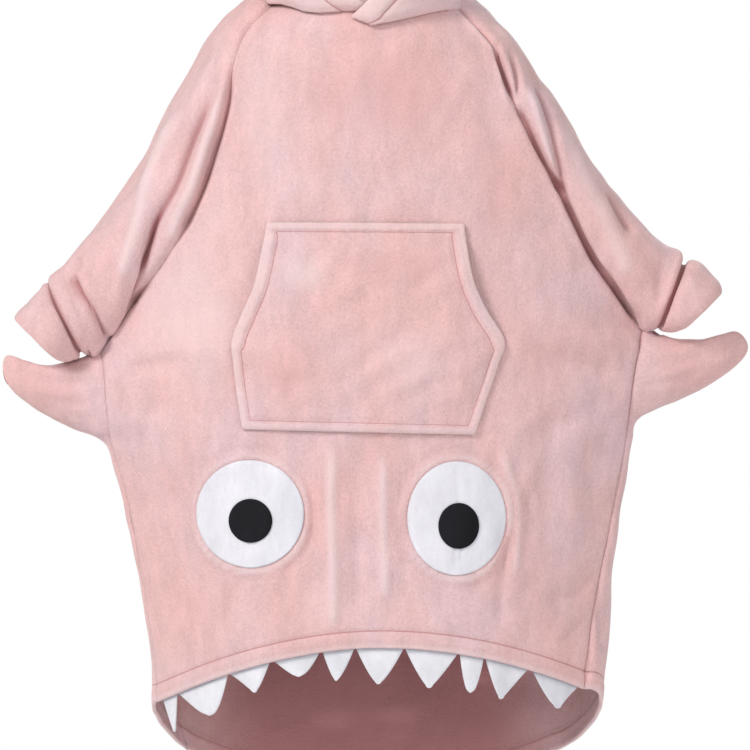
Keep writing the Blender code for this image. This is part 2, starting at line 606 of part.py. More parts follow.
def add_sewn(patches, kind, folds):
    """Make every piece of a sewn surface, and return the surface."""
    surface, names = sewn_surface(patches)
    if folds:
        press_folds(surface)
    for number, name in enumerate(names):
        outer, inner, faces = piece_layers(surface, number, CLOTH)
        add_solid(name, outer, inner, faces, kind)
    return surface, names


def front_tree(surface, names):
    """A search tree of the front panel's outer face."""
    number = names.index("front_panel")
    faces = [face for face in surface.faces if face.material_index == number]
    points = [v.co.copy() for v in surface.verts]
    surface.verts.index_update()
    return BVHTree.FromPolygons(points, [[v.index for v in face.verts] for face in faces])


def on_front(tree, x, z):
    """The front panel's outer face at a place seen from the front."""
    place = tree.ray_cast(Vector((x, -1, z)), Vector((0, 1, 0)))[0]
    if place is None:
        place = tree.find_nearest(Vector((x, -0.15, z)))[0]
    return place


def pocket_stand_off(down, across):
    """How far the pocket's cloth stands off the front: nothing at its stitches, more at the hands."""
    belly = POCKET_BULGE * math.sin(math.pi * down) ** 0.7 * (1 - across**4)
    start, end = HAND_OPENING
    if start < down < end:
        gape = math.sin(math.pi * (down - start) / (end - start)) ** 0.6
        belly = max(belly, POCKET_GAPE * gape)
    return belly


def grid_faces(rows, columns):
    return [
        [r * columns + c, r * columns + c + 1, (r + 1) * columns + c + 1, (r + 1) * columns + c]
        for r in range(rows - 1)
        for c in range(columns - 1)
    ]


def add_pocket(tree):
    outer, inner = [], []
    for down in even(POCKET_STEPS):
        left_x, left_z, right_x, right_z = between(POCKET, down * (len(POCKET) - 1))
        for across in even(POCKET_COLUMNS, -1):
            share = (across + 1) / 2
            x = blend(share, left_x, right_x)
            z = blend(share, left_z, right_z)
            place = on_front(tree, x, z)
            stand = RESTING_GAP + pocket_stand_off(down, across)
            inner.append(place - Vector((0, stand, 0)))
            outer.append(place - Vector((0, stand + CLOTH, 0)))
    add_solid("pocket", outer, inner, grid_faces(POCKET_STEPS + 1, POCKET_COLUMNS + 1), "fleece")


def add_disc(name, tree, centre_x, centre_z, wide, high, grid, base, kind):
    """A felt disc that lies along the front panel, its inner face a stated height off it."""
    rings, spokes = grid
    places = [(0.0, 0.0)]
    for ring in range(1, rings + 1):
        share = ring / rings
        for spoke in range(spokes):
            turn = 2 * math.pi * spoke / spokes
            places.append((share * wide * math.cos(turn), share * high * math.sin(turn)))
    outer, inner = [], []
    for x, z in places:
        place = on_front(tree, centre_x + x, centre_z + z)
        inner.append(place - Vector((0, base, 0)))
        outer.append(place - Vector((0, base + FELT, 0)))
    faces = [[0, 1 + spoke, 1 + (spoke + 1) % spokes] for spoke in range(spokes)]
    for ring in range(rings - 1):
        start = 1 + ring * spokes
        for spoke in range(spokes):
            near, far = start + spoke, start + (spoke + 1) % spokes
            faces.append([near, near + spokes, far + spokes, far])
    add_solid(name, outer, inner, faces, kind)


def add_eyes(tree):
    for name, (x, z, wide, high, pupil_x, pupil_z, pupil_wide, pupil_high) in EYES.items():
        add_disc(f"eye_white_{name}", tree, x, z, wide, high, EYE_GRID, RESTING_GAP, "white")
        base = RESTING_GAP + FELT + SEAM_GAP * 2
        add_disc(f"pupil_{name}", tree, pupil_x, pupil_z, pupil_wide, pupil_high, PUPIL_GRID, base, "black")


def hem_frame(across, row):
    """A point of the front panel near its hem, and the direction out of the cloth there."""
    point = panel_point(row, across, False)
    beside = panel_point(row, across + 0.01, False) - panel_point(row, across - 0.01, False)
    out = Vector((beside[1], -beside[0], 0)).normalized()
    return Vector(point), out


def across_at(x):
    """Where a place seen from the front lies across the front hem."""
    last = BODY_ROWS[-1]
    left, right = panel_point(last, -1, False)[0], panel_point(last, 1, False)[0]
    return 2 * (x - left) / (right - left) - 1


def behind_hem(x, behind):
    """The place a stated amount behind the front hem, seen at x, and the direction out of the cloth."""
    aside = 0.0
    for _ in range(3):
        hem, out = hem_frame(across_at(x + aside), BODY_ROWS[-1])
        aside = out.x * behind
    return hem - out * behind, out


def add_tooth(name, left_x, right_x, tip_x, tip_z, bend):
    """A felt tooth, rooted behind the front hem: full width to the hem line, then narrowing to its tip."""
    outer, inner = [], []
    for row in range(TOOTH_ROWS + 2):
        below = 1 - (1 - max(0, row - 1) / TOOTH_ROWS) ** TOOTH_TAPER
        narrow = blend((1 - below) ** bend, TOOTH_POINT, 1.0)
        for share in even(TOOTH_COLUMNS):
            edge_x = blend(share, left_x, right_x)
            place, out = behind_hem(tip_x + (edge_x - tip_x) * narrow, CLOTH + TOOTH_GAP)
            place.z = place.z + TOOTH_ROOT if row == 0 else blend(below, place.z, tip_z)
            outer.append(place)
            inner.append(place - out * FELT)
    add_solid(name, outer, inner, grid_faces(TOOTH_ROWS + 2, TOOTH_COLUMNS + 1), "white")


def main():
    clear_scene()
    surface, names = add_sewn(garment_patches(), "fleece", True)
    add_sewn(hood_patches(), "fleece", False)
    tree = front_tree(surface, names)
    add_pocket(tree)
    add_eyes(tree)
    for number, tooth in enumerate(TEETH, start=1):
        add_tooth(f"tooth_{number:02d}", *tooth)


main()
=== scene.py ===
"""Looks of the wearable blanket hoodie: cloth shells with folds, seams, hems and pile."""

import math

import bmesh
import bpy
import numpy as np
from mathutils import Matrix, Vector
from mathutils.bvhtree import BVHTree
from mathutils.kdtree import KDTree


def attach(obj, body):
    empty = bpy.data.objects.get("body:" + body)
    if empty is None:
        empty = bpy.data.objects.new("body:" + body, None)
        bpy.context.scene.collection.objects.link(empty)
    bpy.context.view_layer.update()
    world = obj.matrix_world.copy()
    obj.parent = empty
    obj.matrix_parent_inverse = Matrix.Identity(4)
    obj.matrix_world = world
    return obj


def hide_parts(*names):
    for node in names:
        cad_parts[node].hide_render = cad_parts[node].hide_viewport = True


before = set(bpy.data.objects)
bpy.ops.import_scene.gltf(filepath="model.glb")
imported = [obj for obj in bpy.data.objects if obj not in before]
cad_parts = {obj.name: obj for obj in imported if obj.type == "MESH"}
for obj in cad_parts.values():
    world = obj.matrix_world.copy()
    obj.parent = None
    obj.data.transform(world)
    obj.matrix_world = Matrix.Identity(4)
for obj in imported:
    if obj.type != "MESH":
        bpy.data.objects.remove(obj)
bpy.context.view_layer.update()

# Driving dimensions in metres.
CLOTH = 0.0032
HEM_THICK = 0.0052
HEM_BELOW = -0.9
UNDERARM = 9
RESTING_GAP = 0.0012

# Sleeve sections from the neck to the cuff seam. Columns: front seam x, y, z, outer line x, y, z,
# back seam x, y, z, half depth of the ring, closed share.
SLEEVE_RIGHT = [
    (0.141, -0.055, -0.015, 0.137, 0, 0.026, 0.12, 0.055, 0.028, 0, 0),
    (0.17, -0.075, -0.046, 0.186, 0.003, -0.01, 0.15, 0.08, -0.005, 0, 0),
    (0.195, -0.088, -0.074, 0.216, 0.004, -0.042, 0.175, 0.095, -0.045, 0, 0),
    (0.208, -0.095, -0.108, 0.238, 0.004, -0.069, 0.19, 0.103, -0.085, 0, 0),
    (0.231, -0.102, -0.169, 0.27, 0.002, -0.117, 0.215, 0.11, -0.15, 0, 0),
    (0.26, -0.104, -0.228, 0.306, 0, -0.167, 0.245, 0.11, -0.215, 0.004, 0.05),
    (0.295, -0.1, -0.292, 0.345, -0.004, -0.235, 0.283, 0.104, -0.285, 0.01, 0.15),
    (0.342, -0.086, -0.388, 0.401, -0.01, -0.311, 0.335, 0.082, -0.385, 0.022, 0.4),
    (0.382, -0.066, -0.444, 0.449, -0.016, -0.361, 0.38, 0.044, -0.446, 0.036, 0.72),
    (0.421, -0.034, -0.493, 0.476, -0.022, -0.375, 0.421, -0.034, -0.493, 0.047, 1),
    (0.432, -0.034, -0.4955, 0.481, -0.024, -0.382, 0.432, -0.034, -0.4955, 0.047, 1),
    (0.443, -0.034, -0.499, 0.485, -0.026, -0.391, 0.443, -0.034, -0.499, 0.044, 1),
]
SLEEVE_LEFT = [
    (-0.133, -0.055, -0.011, -0.137, 0, 0.026, -0.12, 0.055, 0.028, 0, 0),
    (-0.152, -0.072, -0.03, -0.186, 0.003, -0.011, -0.15, 0.08, -0.005, 0, 0),
    (-0.173, -0.086, -0.061, -0.208, 0.004, -0.031, -0.175, 0.095, -0.045, 0, 0),
    (-0.188, -0.094, -0.108, -0.233, 0.004, -0.066, -0.19, 0.103, -0.085, 0, 0),
    (-0.194, -0.101, -0.161, -0.261, 0.002, -0.114, -0.208, 0.11, -0.15, 0, 0),
    (-0.21, -0.104, -0.224, -0.296, 0, -0.176, -0.232, 0.11, -0.22, 0.004, 0.05),
    (-0.236, -0.103, -0.301, -0.332, -0.004, -0.249, -0.258, 0.104, -0.3, 0.012, 0.18),
    (-0.278, -0.096, -0.379, -0.382, -0.012, -0.328, -0.29, 0.084, -0.385, 0.026, 0.45),
    (-0.325, -0.074, -0.442, -0.42, -0.02, -0.371, -0.325, 0.046, -0.45, 0.04, 0.75),
    (-0.387, -0.04, -0.527, -0.437, -0.03, -0.394, -0.387, -0.04, -0.527, 0.052, 1),
    (-0.401, -0.042, -0.53, -0.451, -0.036, -0.41, -0.401, -0.042, -0.53, 0.052, 1),
    (-0.413, -0.047, -0.5335, -0.468, -0.04, -0.421, -0.413, -0.047, -0.5335, 0.047, 1),
]

# Rings of the cuffs. Columns: lowest point x, y, z, highest point x, y, z, half depth.
CUFF_RIGHT = [
    (0.443, -0.034, -0.499, 0.485, -0.026, -0.391, 0.044),
    (0.452, -0.04, -0.499, 0.502, -0.028, -0.393, 0.054),
    (0.468, -0.042, -0.499, 0.522, -0.032, -0.409, 0.054),
    (0.483, -0.044, -0.495, 0.539, -0.036, -0.436, 0.047),
    (0.482, -0.044, -0.482, 0.53, -0.036, -0.441, 0.037),
    (0.47, -0.042, -0.474, 0.511, -0.034, -0.428, 0.034),
]
CUFF_LEFT = [
    (-0.413, -0.047, -0.5335, -0.468, -0.04, -0.421, 0.047),
    (-0.42, -0.049, -0.5375, -0.477, -0.043, -0.436, 0.054),
    (-0.431, -0.052, -0.539, -0.494, -0.047, -0.45, 0.056),
    (-0.446, -0.055, -0.5415, -0.514, -0.051, -0.475, 0.05),
    (-0.447, -0.055, -0.532, -0.506, -0.051, -0.48, 0.04),
    (-0.436, -0.053, -0.521, -0.489, -0.048, -0.464, 0.037),
]

# Sides of the body. Columns: side seam x, y, z, outline x, y, z, back x, y, z, roundness.
SIDE_RIGHT = [
    (0.421, -0.034, -0.493, 0.421, -0.034, -0.493, 0.421, -0.034, -0.493, 1.5),
    (0.418, -0.052, -0.508, 0.483, -0.026, -0.5065, 0.41, 0.01, -0.51, 1.4),
    (0.415, -0.06, -0.525, 0.525, -0.022, -0.506, 0.402, 0.04, -0.528, 1.3),
    (0.411, -0.064, -0.543, 0.56, -0.018, -0.498, 0.396, 0.06, -0.549, 1.25),
    (0.407, -0.066, -0.567, 0.58, -0.018, -0.516, 0.39, 0.072, -0.572, 1.25),
    (0.404, -0.066, -0.588, 0.573, -0.016, -0.538, 0.386, 0.076, -0.59, 1.25),
    (0.402, -0.062, -0.605, 0.537, -0.01, -0.568, 0.382, 0.079, -0.606, 1.3),
    (0.401, -0.056, -0.619, 0.474, 0, -0.603, 0.378, 0.082, -0.62, 1.4),
    (0.4, -0.046, -0.632, 0.416, 0.012, -0.632, 0.374, 0.084, -0.635, 1.6),
    (0.396, -0.04, -0.66, 0.406, 0.016, -0.66, 0.368, 0.086, -0.663, 1.8),
    (0.389, -0.036, -0.7, 0.397, 0.02, -0.7, 0.358, 0.088, -0.702, 1.9),
    (0.376, -0.038, -0.768, 0.385, 0.022, -0.768, 0.345, 0.092, -0.77, 2),
    (0.359, -0.05, -0.843, 0.375, 0.022, -0.846, 0.336, 0.1, -0.852, 2),
    (0.345, -0.055, -0.922, 0.373, 0.022, -0.93, 0.332, 0.106, -0.945, 2),
    (0.336, -0.055, -0.986, 0.368, 0.026, -0.992, 0.322, 0.114, -1.036, 2),
    (0.333, -0.052, -1.028, 0.359, 0.03, -1.074, 0.3, 0.122, -1.135, 2),
]
SIDE_LEFT = [
    (-0.387, -0.04, -0.527, -0.387, -0.04, -0.527, -0.387, -0.04, -0.527, 1.5),
    (-0.384, -0.052, -0.538, -0.425, -0.028, -0.539, -0.377, 0.008, -0.541, 1.4),
    (-0.382, -0.06, -0.551, -0.462, -0.026, -0.548, -0.37, 0.038, -0.556, 1.3),
    (-0.38, -0.066, -0.566, -0.498, -0.022, -0.543, -0.364, 0.062, -0.575, 1.25),
    (-0.379, -0.066, -0.583, -0.527, -0.02, -0.533, -0.36, 0.07, -0.59, 1.25),
    (-0.378, -0.064, -0.602, -0.535, -0.02, -0.552, -0.357, 0.074, -0.607, 1.25),
    (-0.376, -0.062, -0.619, -0.526, -0.018, -0.58, -0.354, 0.078, -0.622, 1.25),
    (-0.375, -0.058, -0.634, -0.49, -0.008, -0.612, -0.351, 0.08, -0.636, 1.3),
    (-0.373, -0.05, -0.648, -0.434, 0.004, -0.643, -0.348, 0.082, -0.65, 1.5),
    (-0.371, -0.04, -0.664, -0.381, 0.016, -0.665, -0.345, 0.084, -0.668, 1.7),
    (-0.357, -0.031, -0.712, -0.363, 0.024, -0.712, -0.335, 0.088, -0.715, 1.9),
    (-0.34, -0.028, -0.78, -0.345, 0.028, -0.78, -0.321, 0.092, -0.782, 2),
    (-0.327, -0.023, -0.855, -0.33, 0.04, -0.855, -0.31, 0.098, -0.862, 2),
    (-0.317, -0.02, -0.93, -0.318, 0.05, -0.931, -0.3, 0.106, -0.948, 2),
    (-0.309, -0.018, -0.996, -0.309, 0.058, -1.006, -0.288, 0.114, -1.04, 2),
    (-0.305, -0.018, -1.05, -0.303, 0.063, -1.088, -0.263, 0.122, -1.135, 2),
]

# Centre lines of the panels. Columns: front y, rise, squareness, back y, rise, squareness.
CENTRE = [
    (-0.115, 0.004, 2, 0.092, 0.004, 2),
    (-0.122, -0.008, 2, 0.104, 0.004, 2),
    (-0.126, -0.012, 2, 0.114, 0.003, 2),
    (-0.129, -0.011, 2, 0.121, 0.002, 2.2),
    (-0.134, -0.008, 2.2, 0.127, 0, 2.4),
    (-0.139, -0.003, 2.4, 0.129, 0, 2.5),
    (-0.144, 0, 2.5, 0.13, 0, 2.9),
    (-0.149, 0, 2.6, 0.13, 0, 3.6),
    (-0.152, 0, 3, 0.13, 0, 5),
    (-0.154, 0, 3.6, 0.131, 0, 7),
    (-0.154, 0, 3.4, 0.131, 0, 6),
    (-0.154, 0, 3, 0.132, 0, 4.6),
    (-0.154, 0, 2.7, 0.132, 0, 3.6),
    (-0.154, 0, 2.5, 0.133, 0, 2.8),
    (-0.154, 0, 2.6, 0.134, 0, 2.2),
    (-0.154, 0, 2.7, 0.135, 0, 2),
    (-0.154, 0, 2.8, 0.136, 0, 2),
    (-0.154, 0, 3, 0.137, 0, 2),
    (-0.153, 0.001, 3.1, 0.138, 0, 2),
    (-0.153, 0.003, 3.2, 0.141, 0, 2),
    (-0.152, 0.007, 3.3, 0.146, -0.002, 2),
    (-0.152, 0.015, 3.3, 0.151, -0.006, 2),
    (-0.151, 0.03, 3.2, 0.156, -0.016, 2),
    (-0.151, 0.05, 3.2, 0.16, -0.034, 2),
    (-0.15, 0.078, 3.2, 0.162, -0.064, 2),
]

# Hood sections. Columns: place round the neck, cheek x, y, z, side x, y, z, temple x, y, z,
# seam y, z.
HOOD = [
    (-0.055, 0.04, -0.136, 0.014, 0.112, -0.12, 0.116, 0.082, -0.112, 0.226, -0.112, 0.272),
    (0.07, 0.082, -0.133, 0.024, 0.136, -0.094, 0.132, 0.094, -0.08, 0.256, -0.08, 0.304),
    (0.18, 0.122, -0.116, 0.036, 0.151, -0.062, 0.148, 0.102, -0.04, 0.279, -0.036, 0.326),
    (0.29, 0.149, -0.08, 0.05, 0.157, -0.022, 0.158, 0.104, 0.008, 0.286, 0.014, 0.332),
    (0.41, 0.16, -0.034, 0.064, 0.157, 0.02, 0.158, 0.102, 0.058, 0.27, 0.066, 0.314),
    (0.52, 0.161, 0.014, 0.078, 0.15, 0.064, 0.152, 0.094, 0.106, 0.236, 0.116, 0.274),
    (0.64, 0.146, 0.06, 0.078, 0.133, 0.102, 0.135, 0.08, 0.142, 0.19, 0.152, 0.218),
    (0.76, 0.112, 0.092, 0.066, 0.102, 0.126, 0.106, 0.058, 0.155, 0.14, 0.163, 0.156),
    (0.88, 0.061, 0.106, 0.051, 0.056, 0.127, 0.072, 0.031, 0.143, 0.089, 0.147, 0.097),
    (1, 0, 0.099, 0.026, 0, 0.099, 0.026, 0, 0.099, 0.026, 0.099, 0.026),
]

# How far down the body the hood's foot lies. Columns: place round the neck, row of the body.
HOOD_FOOT_LEFT = [
    (0, 0.5), (0.1, 0.6), (0.18, 0.7), (0.24, 0.66), (0.29, 0.48), (0.35, 0.28), (0.41, 0.2),
]
HOOD_FOOT_RIGHT = [
    (-0.055, 0.8), (0.02, 1.1), (0.12, 0.85), (0.22, 0.6), (0.32, 0.38), (0.41, 0.24),
]

# How the hood sits on the body: its gap, where its foot lies over the shoulder seams, and the
# lapel of its right half over the left one at the throat.
HOOD_GAP = 0.0014
FRONT_SHARE = 0.41
BACK_SHARE = 0.64
SHOULDER_PLACE = 0.61
SHOULDER_REACH = 0.06
SHOULDER_LIFT = 0.0028
LAPEL_LIFT = 0.0055
LAPEL_REACH = 0.05
LAPEL_FLAT = 1.6

# Pocket rows from the top seam to the bottom seam. Columns: left x, z, right x, z.
POCKET = [
    (-0.135, -0.34, 0.152, -0.342),
    (-0.143, -0.383, 0.157, -0.38),
    (-0.154, -0.433, 0.166, -0.425),
    (-0.171, -0.473, 0.184, -0.466),
    (-0.186, -0.512, 0.211, -0.512),
    (-0.184, -0.545, 0.203, -0.545),
    (-0.179, -0.59, 0.188, -0.59),
    (-0.171, -0.641, 0.168, -0.649),
]

# Eyes. Columns: centre x, z, half width, half height, pupil centre x, z, half width, half height.
EYES = {
    "left": (-0.161, -0.766, 0.0797, 0.0790, -0.160, -0.776, 0.0322, 0.0322),
    "right": (0.142, -0.772, 0.0724, 0.0834, 0.145, -0.783, 0.0300, 0.0336),
}

# Teeth. Columns: left corner x, right corner x, tip x, tip z, bend of the sides.
TEETH = [
    (-0.2944, -0.272, -0.2756, -1.0947, 0.8),
    (-0.2705, -0.1945, -0.2211, -1.0653, 0.52),
    (-0.1923, -0.1322, -0.1539, -1.0291, 0.8),
    (-0.1264, -0.0586, -0.0894, -1.0047, 0.62),
    (-0.0543, -0.008, -0.0347, -1.0103, 0.7),
    (-0.0053, 0.0646, 0.027, -1.0156, 0.72),
    (0.0664, 0.1442, 0.1014, -1.0207, 0.78),
    (0.1469, 0.182, 0.1619, -1.0286, 0.45),
    (0.1846, 0.248, 0.207, -1.0392, 0.8),
    (0.2552, 0.3246, 0.2933, -1.0559, 0.82),
]

# Folds and creases as lines seen from the front. Columns: side (-1 front, 1 back), depth (a ridge
# is negative), half width, lip to the right of the line, length over which its ends fade, then
# x, z of its points.
SLEEVE_FOLDS = [
    # Left sleeve: the raglan valley, the deep fold along the arm, the rolls beside them.
    (
        -1, 0.009, 0.008, 0, 0.05, -0.1855, -0.0949, -0.1889, -0.1451, -0.2017, -0.2011,
        -0.215, -0.2365, -0.2282, -0.2852, -0.2408, -0.3206, -0.2651, -0.3634,
    ),
    (
        -1, 0.011, 0.009, 0, 0.12, -0.2039, -0.0845, -0.2187, -0.1407, -0.2321, -0.1777,
        -0.2483, -0.2162, -0.2742, -0.2872, -0.3001, -0.3331, -0.3105, -0.376, -0.3216, -0.4219,
    ),
    (
        -1, 0.011, 0.0042, 0, 0.06, -0.2833, -0.3113, -0.2996, -0.3364, -0.3099, -0.3763,
        -0.321, -0.4192, -0.3351, -0.4546, -0.35, -0.473,
    ),
    (
        -1, -0.006, 0.01, 0, 0.06, -0.2017, -0.12, -0.212, -0.1716, -0.2282, -0.2247,
        -0.2474, -0.2823, -0.2695, -0.3339, -0.2872, -0.3752,
    ),
    (
        -1, -0.006, 0.01, 0, 0.06, -0.2611, -0.1615, -0.2879, -0.215, -0.3131, -0.267,
        -0.3205, -0.31, -0.3339, -0.3561, -0.3443, -0.3917, -0.3547, -0.4303,
    ),
    (-1, 0.004, 0.008, 0, 0.02, -0.3732, -0.3885, -0.3672, -0.4138, -0.3643, -0.4524),
    (-1, 0.005, 0.013, 0, 0.04, -0.3133, -0.2118, -0.3357, -0.264, -0.3551, -0.3088),
    # Left cuff: the dark line above the second roll, and two short creases.
    (
        -1, 0.012, 0.0046, 0, 0.012, -0.4275, -0.4125, -0.4126, -0.4422, -0.3948, -0.4689,
        -0.3762, -0.5046, -0.37, -0.52,
    ),
    (-1, 0.005, 0.0045, 0, 0.01, -0.4238, -0.3855, -0.4178, -0.3989, -0.4118, -0.4108),
    (-1, 0.004, 0.0045, 0, 0.01, -0.4096, -0.411, -0.4022, -0.4199, -0.3933, -0.4288),
    # Right sleeve: two pleats that meet at the seam, the valley beside it and the deep fold to
    # the underarm.
    (-1, 0.01, 0.006, 0, 0.03, 0.2016, -0.0637, 0.206, -0.0993, 0.2179, -0.1348, 0.2327, -0.1659),
    (-1, 0.009, 0.0045, 0, 0.03, 0.2212, -0.0718, 0.228, -0.0955, 0.233, -0.1222, 0.2345, -0.1667),
    (
        -1, 0.011, 0.006, 0, 0.02, 0.2308, -0.1621, 0.2456, -0.1902, 0.2633, -0.2295,
        0.284, -0.2685, 0.3003, -0.3025,
    ),
    (
        -1, 0.01, 0.0058, 0, 0.05, 0.2515, -0.106, 0.2678, -0.1444, 0.2811, -0.1843,
        0.2885, -0.2168, 0.295, -0.2552, 0.303, -0.301, 0.314, -0.3276, 0.343, -0.3882,
        0.37, -0.424, 0.399, -0.4689, 0.415, -0.493,
    ),
    (-1, -0.005, 0.007, 0, 0.03, 0.2412, -0.1296, 0.2574, -0.171, 0.2737, -0.2227, 0.2899, -0.2773),
    (-1, 0.01, 0.01, 0, 0.03, 0.3613, -0.2715, 0.3762, -0.2968, 0.3897, -0.3252, 0.4106, -0.3655),
    (
        -1, -0.0036, 0.016, 0, 0.05, 0.2913, -0.1719, 0.3269, -0.2506, 0.3537, -0.3145,
        0.3819, -0.3769, 0.4041, -0.4274,
    ),
    (
        -1, 0.005, 0.0042, 0, 0.04, 0.1871, -0.2024, 0.2004, -0.2318, 0.2327, -0.267,
        0.2748, -0.3185, 0.3165, -0.364,
    ),
    (-1, -0.003, 0.008, 0, 0.04, 0.2033, -0.2553, 0.2415, -0.2994, 0.2886, -0.3552),
]
FOLDS = [
    # Front: the two pale ridges between the eyes and the soft hollows round the eyes.
    (
        -1, -0.0062, 0.009, 0, 0.06, -0.0389, -0.6517, -0.0419, -0.7453, -0.0389, -0.8331,
        -0.0375, -0.9413,
    ),
    (-1, -0.0058, 0.0085, 0, 0.06, 0.0342, -0.6546, 0.0342, -0.7746, 0.0386, -0.9003),
    (-1, 0.005, 0.011, 0, 0.05, -0.0038, -0.6722, -0.0038, -0.7892, -0.0009, -0.9091),
    (-1, 0.004, 0.01, 0, 0.05, -0.0711, -0.6897, -0.0682, -0.7892, -0.0653, -0.8916),
    (-1, 0.004, 0.01, 0, 0.05, 0.0649, -0.6795, 0.0649, -0.7892, 0.0693, -0.9091),
    (
        -1, -0.0045, 0.008, 0, 0.05, 0.203, -0.6491, 0.2206, -0.7181, 0.2309, -0.7459,
        0.2294, -0.8222, 0.2235, -0.8707,
    ),
    (-1, 0.007, 0.011, 0, 0.04, 0.2191, -0.7753, 0.2118, -0.834, 0.2089, -0.878, 0.2133, -0.9338),
    (-1, 0.0045, 0.009, 0, 0.03, 0.2353, -0.7225, 0.25, -0.7577, 0.2558, -0.8046),
    (-1, 0.004, 0.011, 0, 0.03, -0.1785, -0.8516, -0.1918, -0.9, -0.2138, -0.9514),
    (-1, 0.003, 0.007, 0, 0.02, -0.1006, -0.8306, -0.1035, -0.854, -0.1064, -0.8833),
    (-1, 0.0035, 0.0055, 0, 0.02, 0.3544, -0.8472, 0.3205, -0.8826, 0.2732, -0.8959),
    (-1, 0.0035, 0.0055, 0, 0.02, 0.3426, -0.9121, 0.3131, -0.9416, 0.2895, -0.9637),
    (-1, 0.006, 0.0065, 0, 0.02, 0.3557, -0.8972, 0.3587, -0.9418, 0.3631, -0.9805),
    (
        -1, -0.003, 0.0036, 0, 0.03, 0.1365, -0.0193, 0.1853, -0.0697, 0.2001, -0.0904,
        0.209, -0.1407, 0.2238, -0.1703,
    ),
    # Front: soft shallow folds.
    (-1, 0.006, 0.02, 0, 0.06, -0.262, -0.7, -0.27, -0.8, -0.262, -0.94),
    (-1, 0.005, 0.022, 0, 0.06, 0.268, -0.6, 0.285, -0.7, 0.28, -0.82),
    (-1, 0.006, 0.022, 0, 0.06, -0.3, -0.56, -0.318, -0.66, -0.31, -0.78),
    (-1, 0.006, 0.016, 0, 0.06, 0.35, -0.64, 0.345, -0.72, 0.352, -0.8),
    (-1, 0.006, 0.016, 0, 0.06, -0.24, -0.52, -0.29, -0.545, -0.36, -0.56),
    (-1, 0.006, 0.016, 0, 0.06, 0.245, -0.52, 0.31, -0.545, 0.385, -0.56),
    (-1, 0.004, 0.018, 0, 0.06, -0.225, -0.6, -0.29, -0.615, -0.355, -0.61),
    (-1, 0.005, 0.018, 0, 0.06, 0.24, -0.64, 0.31, -0.63, 0.38, -0.6),
    (-1, 0.004, 0.016, 0, 0.06, -0.14, -0.11, -0.175, -0.19, -0.195, -0.29),
    (-1, 0.004, 0.016, 0, 0.06, 0.16, -0.11, 0.195, -0.18, 0.21, -0.26),
    (-1, 0.004, 0.018, 0, 0.06, -0.265, -0.3, -0.225, -0.37, -0.2, -0.44),
    (-1, 0.003, 0.014, 0, 0.06, -0.11, -0.06, -0.02, -0.078, 0.08, -0.062),
    (-1, 0.005, 0.009, 0.2, 0.06, 0.462, -0.372, 0.448, -0.42, 0.442, -0.47),
    (-1, 0.003, 0.008, 0, 0.06, 0.432, -0.4, 0.42, -0.43, 0.424, -0.462),
    # Back of the sleeves' ends, hidden in the photo and so like the front.
    (1, 0.0045, 0.007, -0.4, 0.06, -0.426, -0.417, -0.396, -0.465, -0.3765, -0.512),
    (1, 0.005, 0.009, 0.2, 0.06, 0.462, -0.372, 0.448, -0.42, 0.442, -0.47),
    # Wings: the front's pleats, then the back's.
    (-1, 0.0032, 0.008, 0.3, 0.06, 0.56, -0.51, 0.5, -0.538, 0.425, -0.548),
    (-1, 0.0028, 0.009, 0.2, 0.06, 0.545, -0.53, 0.48, -0.568, 0.415, -0.58),
    (-1, 0.002, 0.009, 0, 0.06, 0.52, -0.552, 0.46, -0.592, 0.41, -0.606),
    (-1, 0.0032, 0.009, 0.3, 0.06, -0.515, -0.56, -0.455, -0.574, -0.392, -0.572),
    (-1, 0.0028, 0.009, 0.2, 0.06, -0.51, -0.58, -0.45, -0.604, -0.388, -0.606),
    (-1, 0.002, 0.009, 0, 0.06, -0.48, -0.602, -0.43, -0.624, -0.384, -0.628),
    (1, 0.009, 0.01, 0.3, 0.06, 0.56, -0.512, 0.48, -0.545, 0.39, -0.56),
    (1, 0.007, 0.011, 0, 0.06, 0.545, -0.532, 0.46, -0.578, 0.37, -0.6),
    (1, 0.009, 0.01, 0.3, 0.06, -0.515, -0.56, -0.44, -0.576, -0.35, -0.585),
    (1, 0.007, 0.011, 0, 0.06, -0.505, -0.582, -0.43, -0.61, -0.34, -0.625),
    # Back, hidden in the photo: the raglan valleys and long soft folds like the front's.
    (1, 0.013, 0.016, -0.3, 0.06, -0.19, -0.12, -0.255, -0.29, -0.33, -0.45),
    (1, 0.014, 0.016, 0.3, 0.06, 0.195, -0.11, 0.265, -0.29, 0.35, -0.445),
    (1, 0.011, 0.03, 0, 0.06, -0.11, -0.25, -0.13, -0.56, -0.15, -0.9),
    (1, 0.011, 0.032, 0.2, 0.06, 0.05, -0.4, 0.04, -0.7, 0.055, -1.1),
    (1, 0.012, 0.028, 0, 0.06, 0.19, -0.48, 0.2, -0.74, 0.185, -1.04),
    (1, 0.009, 0.028, -0.2, 0.06, -0.03, -0.62, -0.045, -0.84, -0.04, -1.11),
    (1, 0.009, 0.02, 0, 0.06, -0.36, -0.56, -0.25, -0.59, -0.13, -0.64),
    (1, 0.01, 0.02, 0, 0.06, 0.385, -0.54, 0.27, -0.575, 0.15, -0.62),
    (1, 0.009, 0.024, 0, 0.06, -0.22, -0.7, -0.235, -0.86, -0.22, -1.04),
    (1, 0.009, 0.022, 0, 0.06, 0.27, -0.68, 0.285, -0.84, 0.265, -1.02),
    (1, 0.005, 0.02, 0, 0.06, -0.13, -0.08, -0.01, -0.105, 0.11, -0.08),
]

# Lines of stitching on the body, as seen from the front. Columns as in FOLDS.
STITCHES = [
    (-1, 0.0016, 0.002, 0, 0.01, -0.104, -0.0315, -0.058, -0.043, -0.006, -0.0445),
]

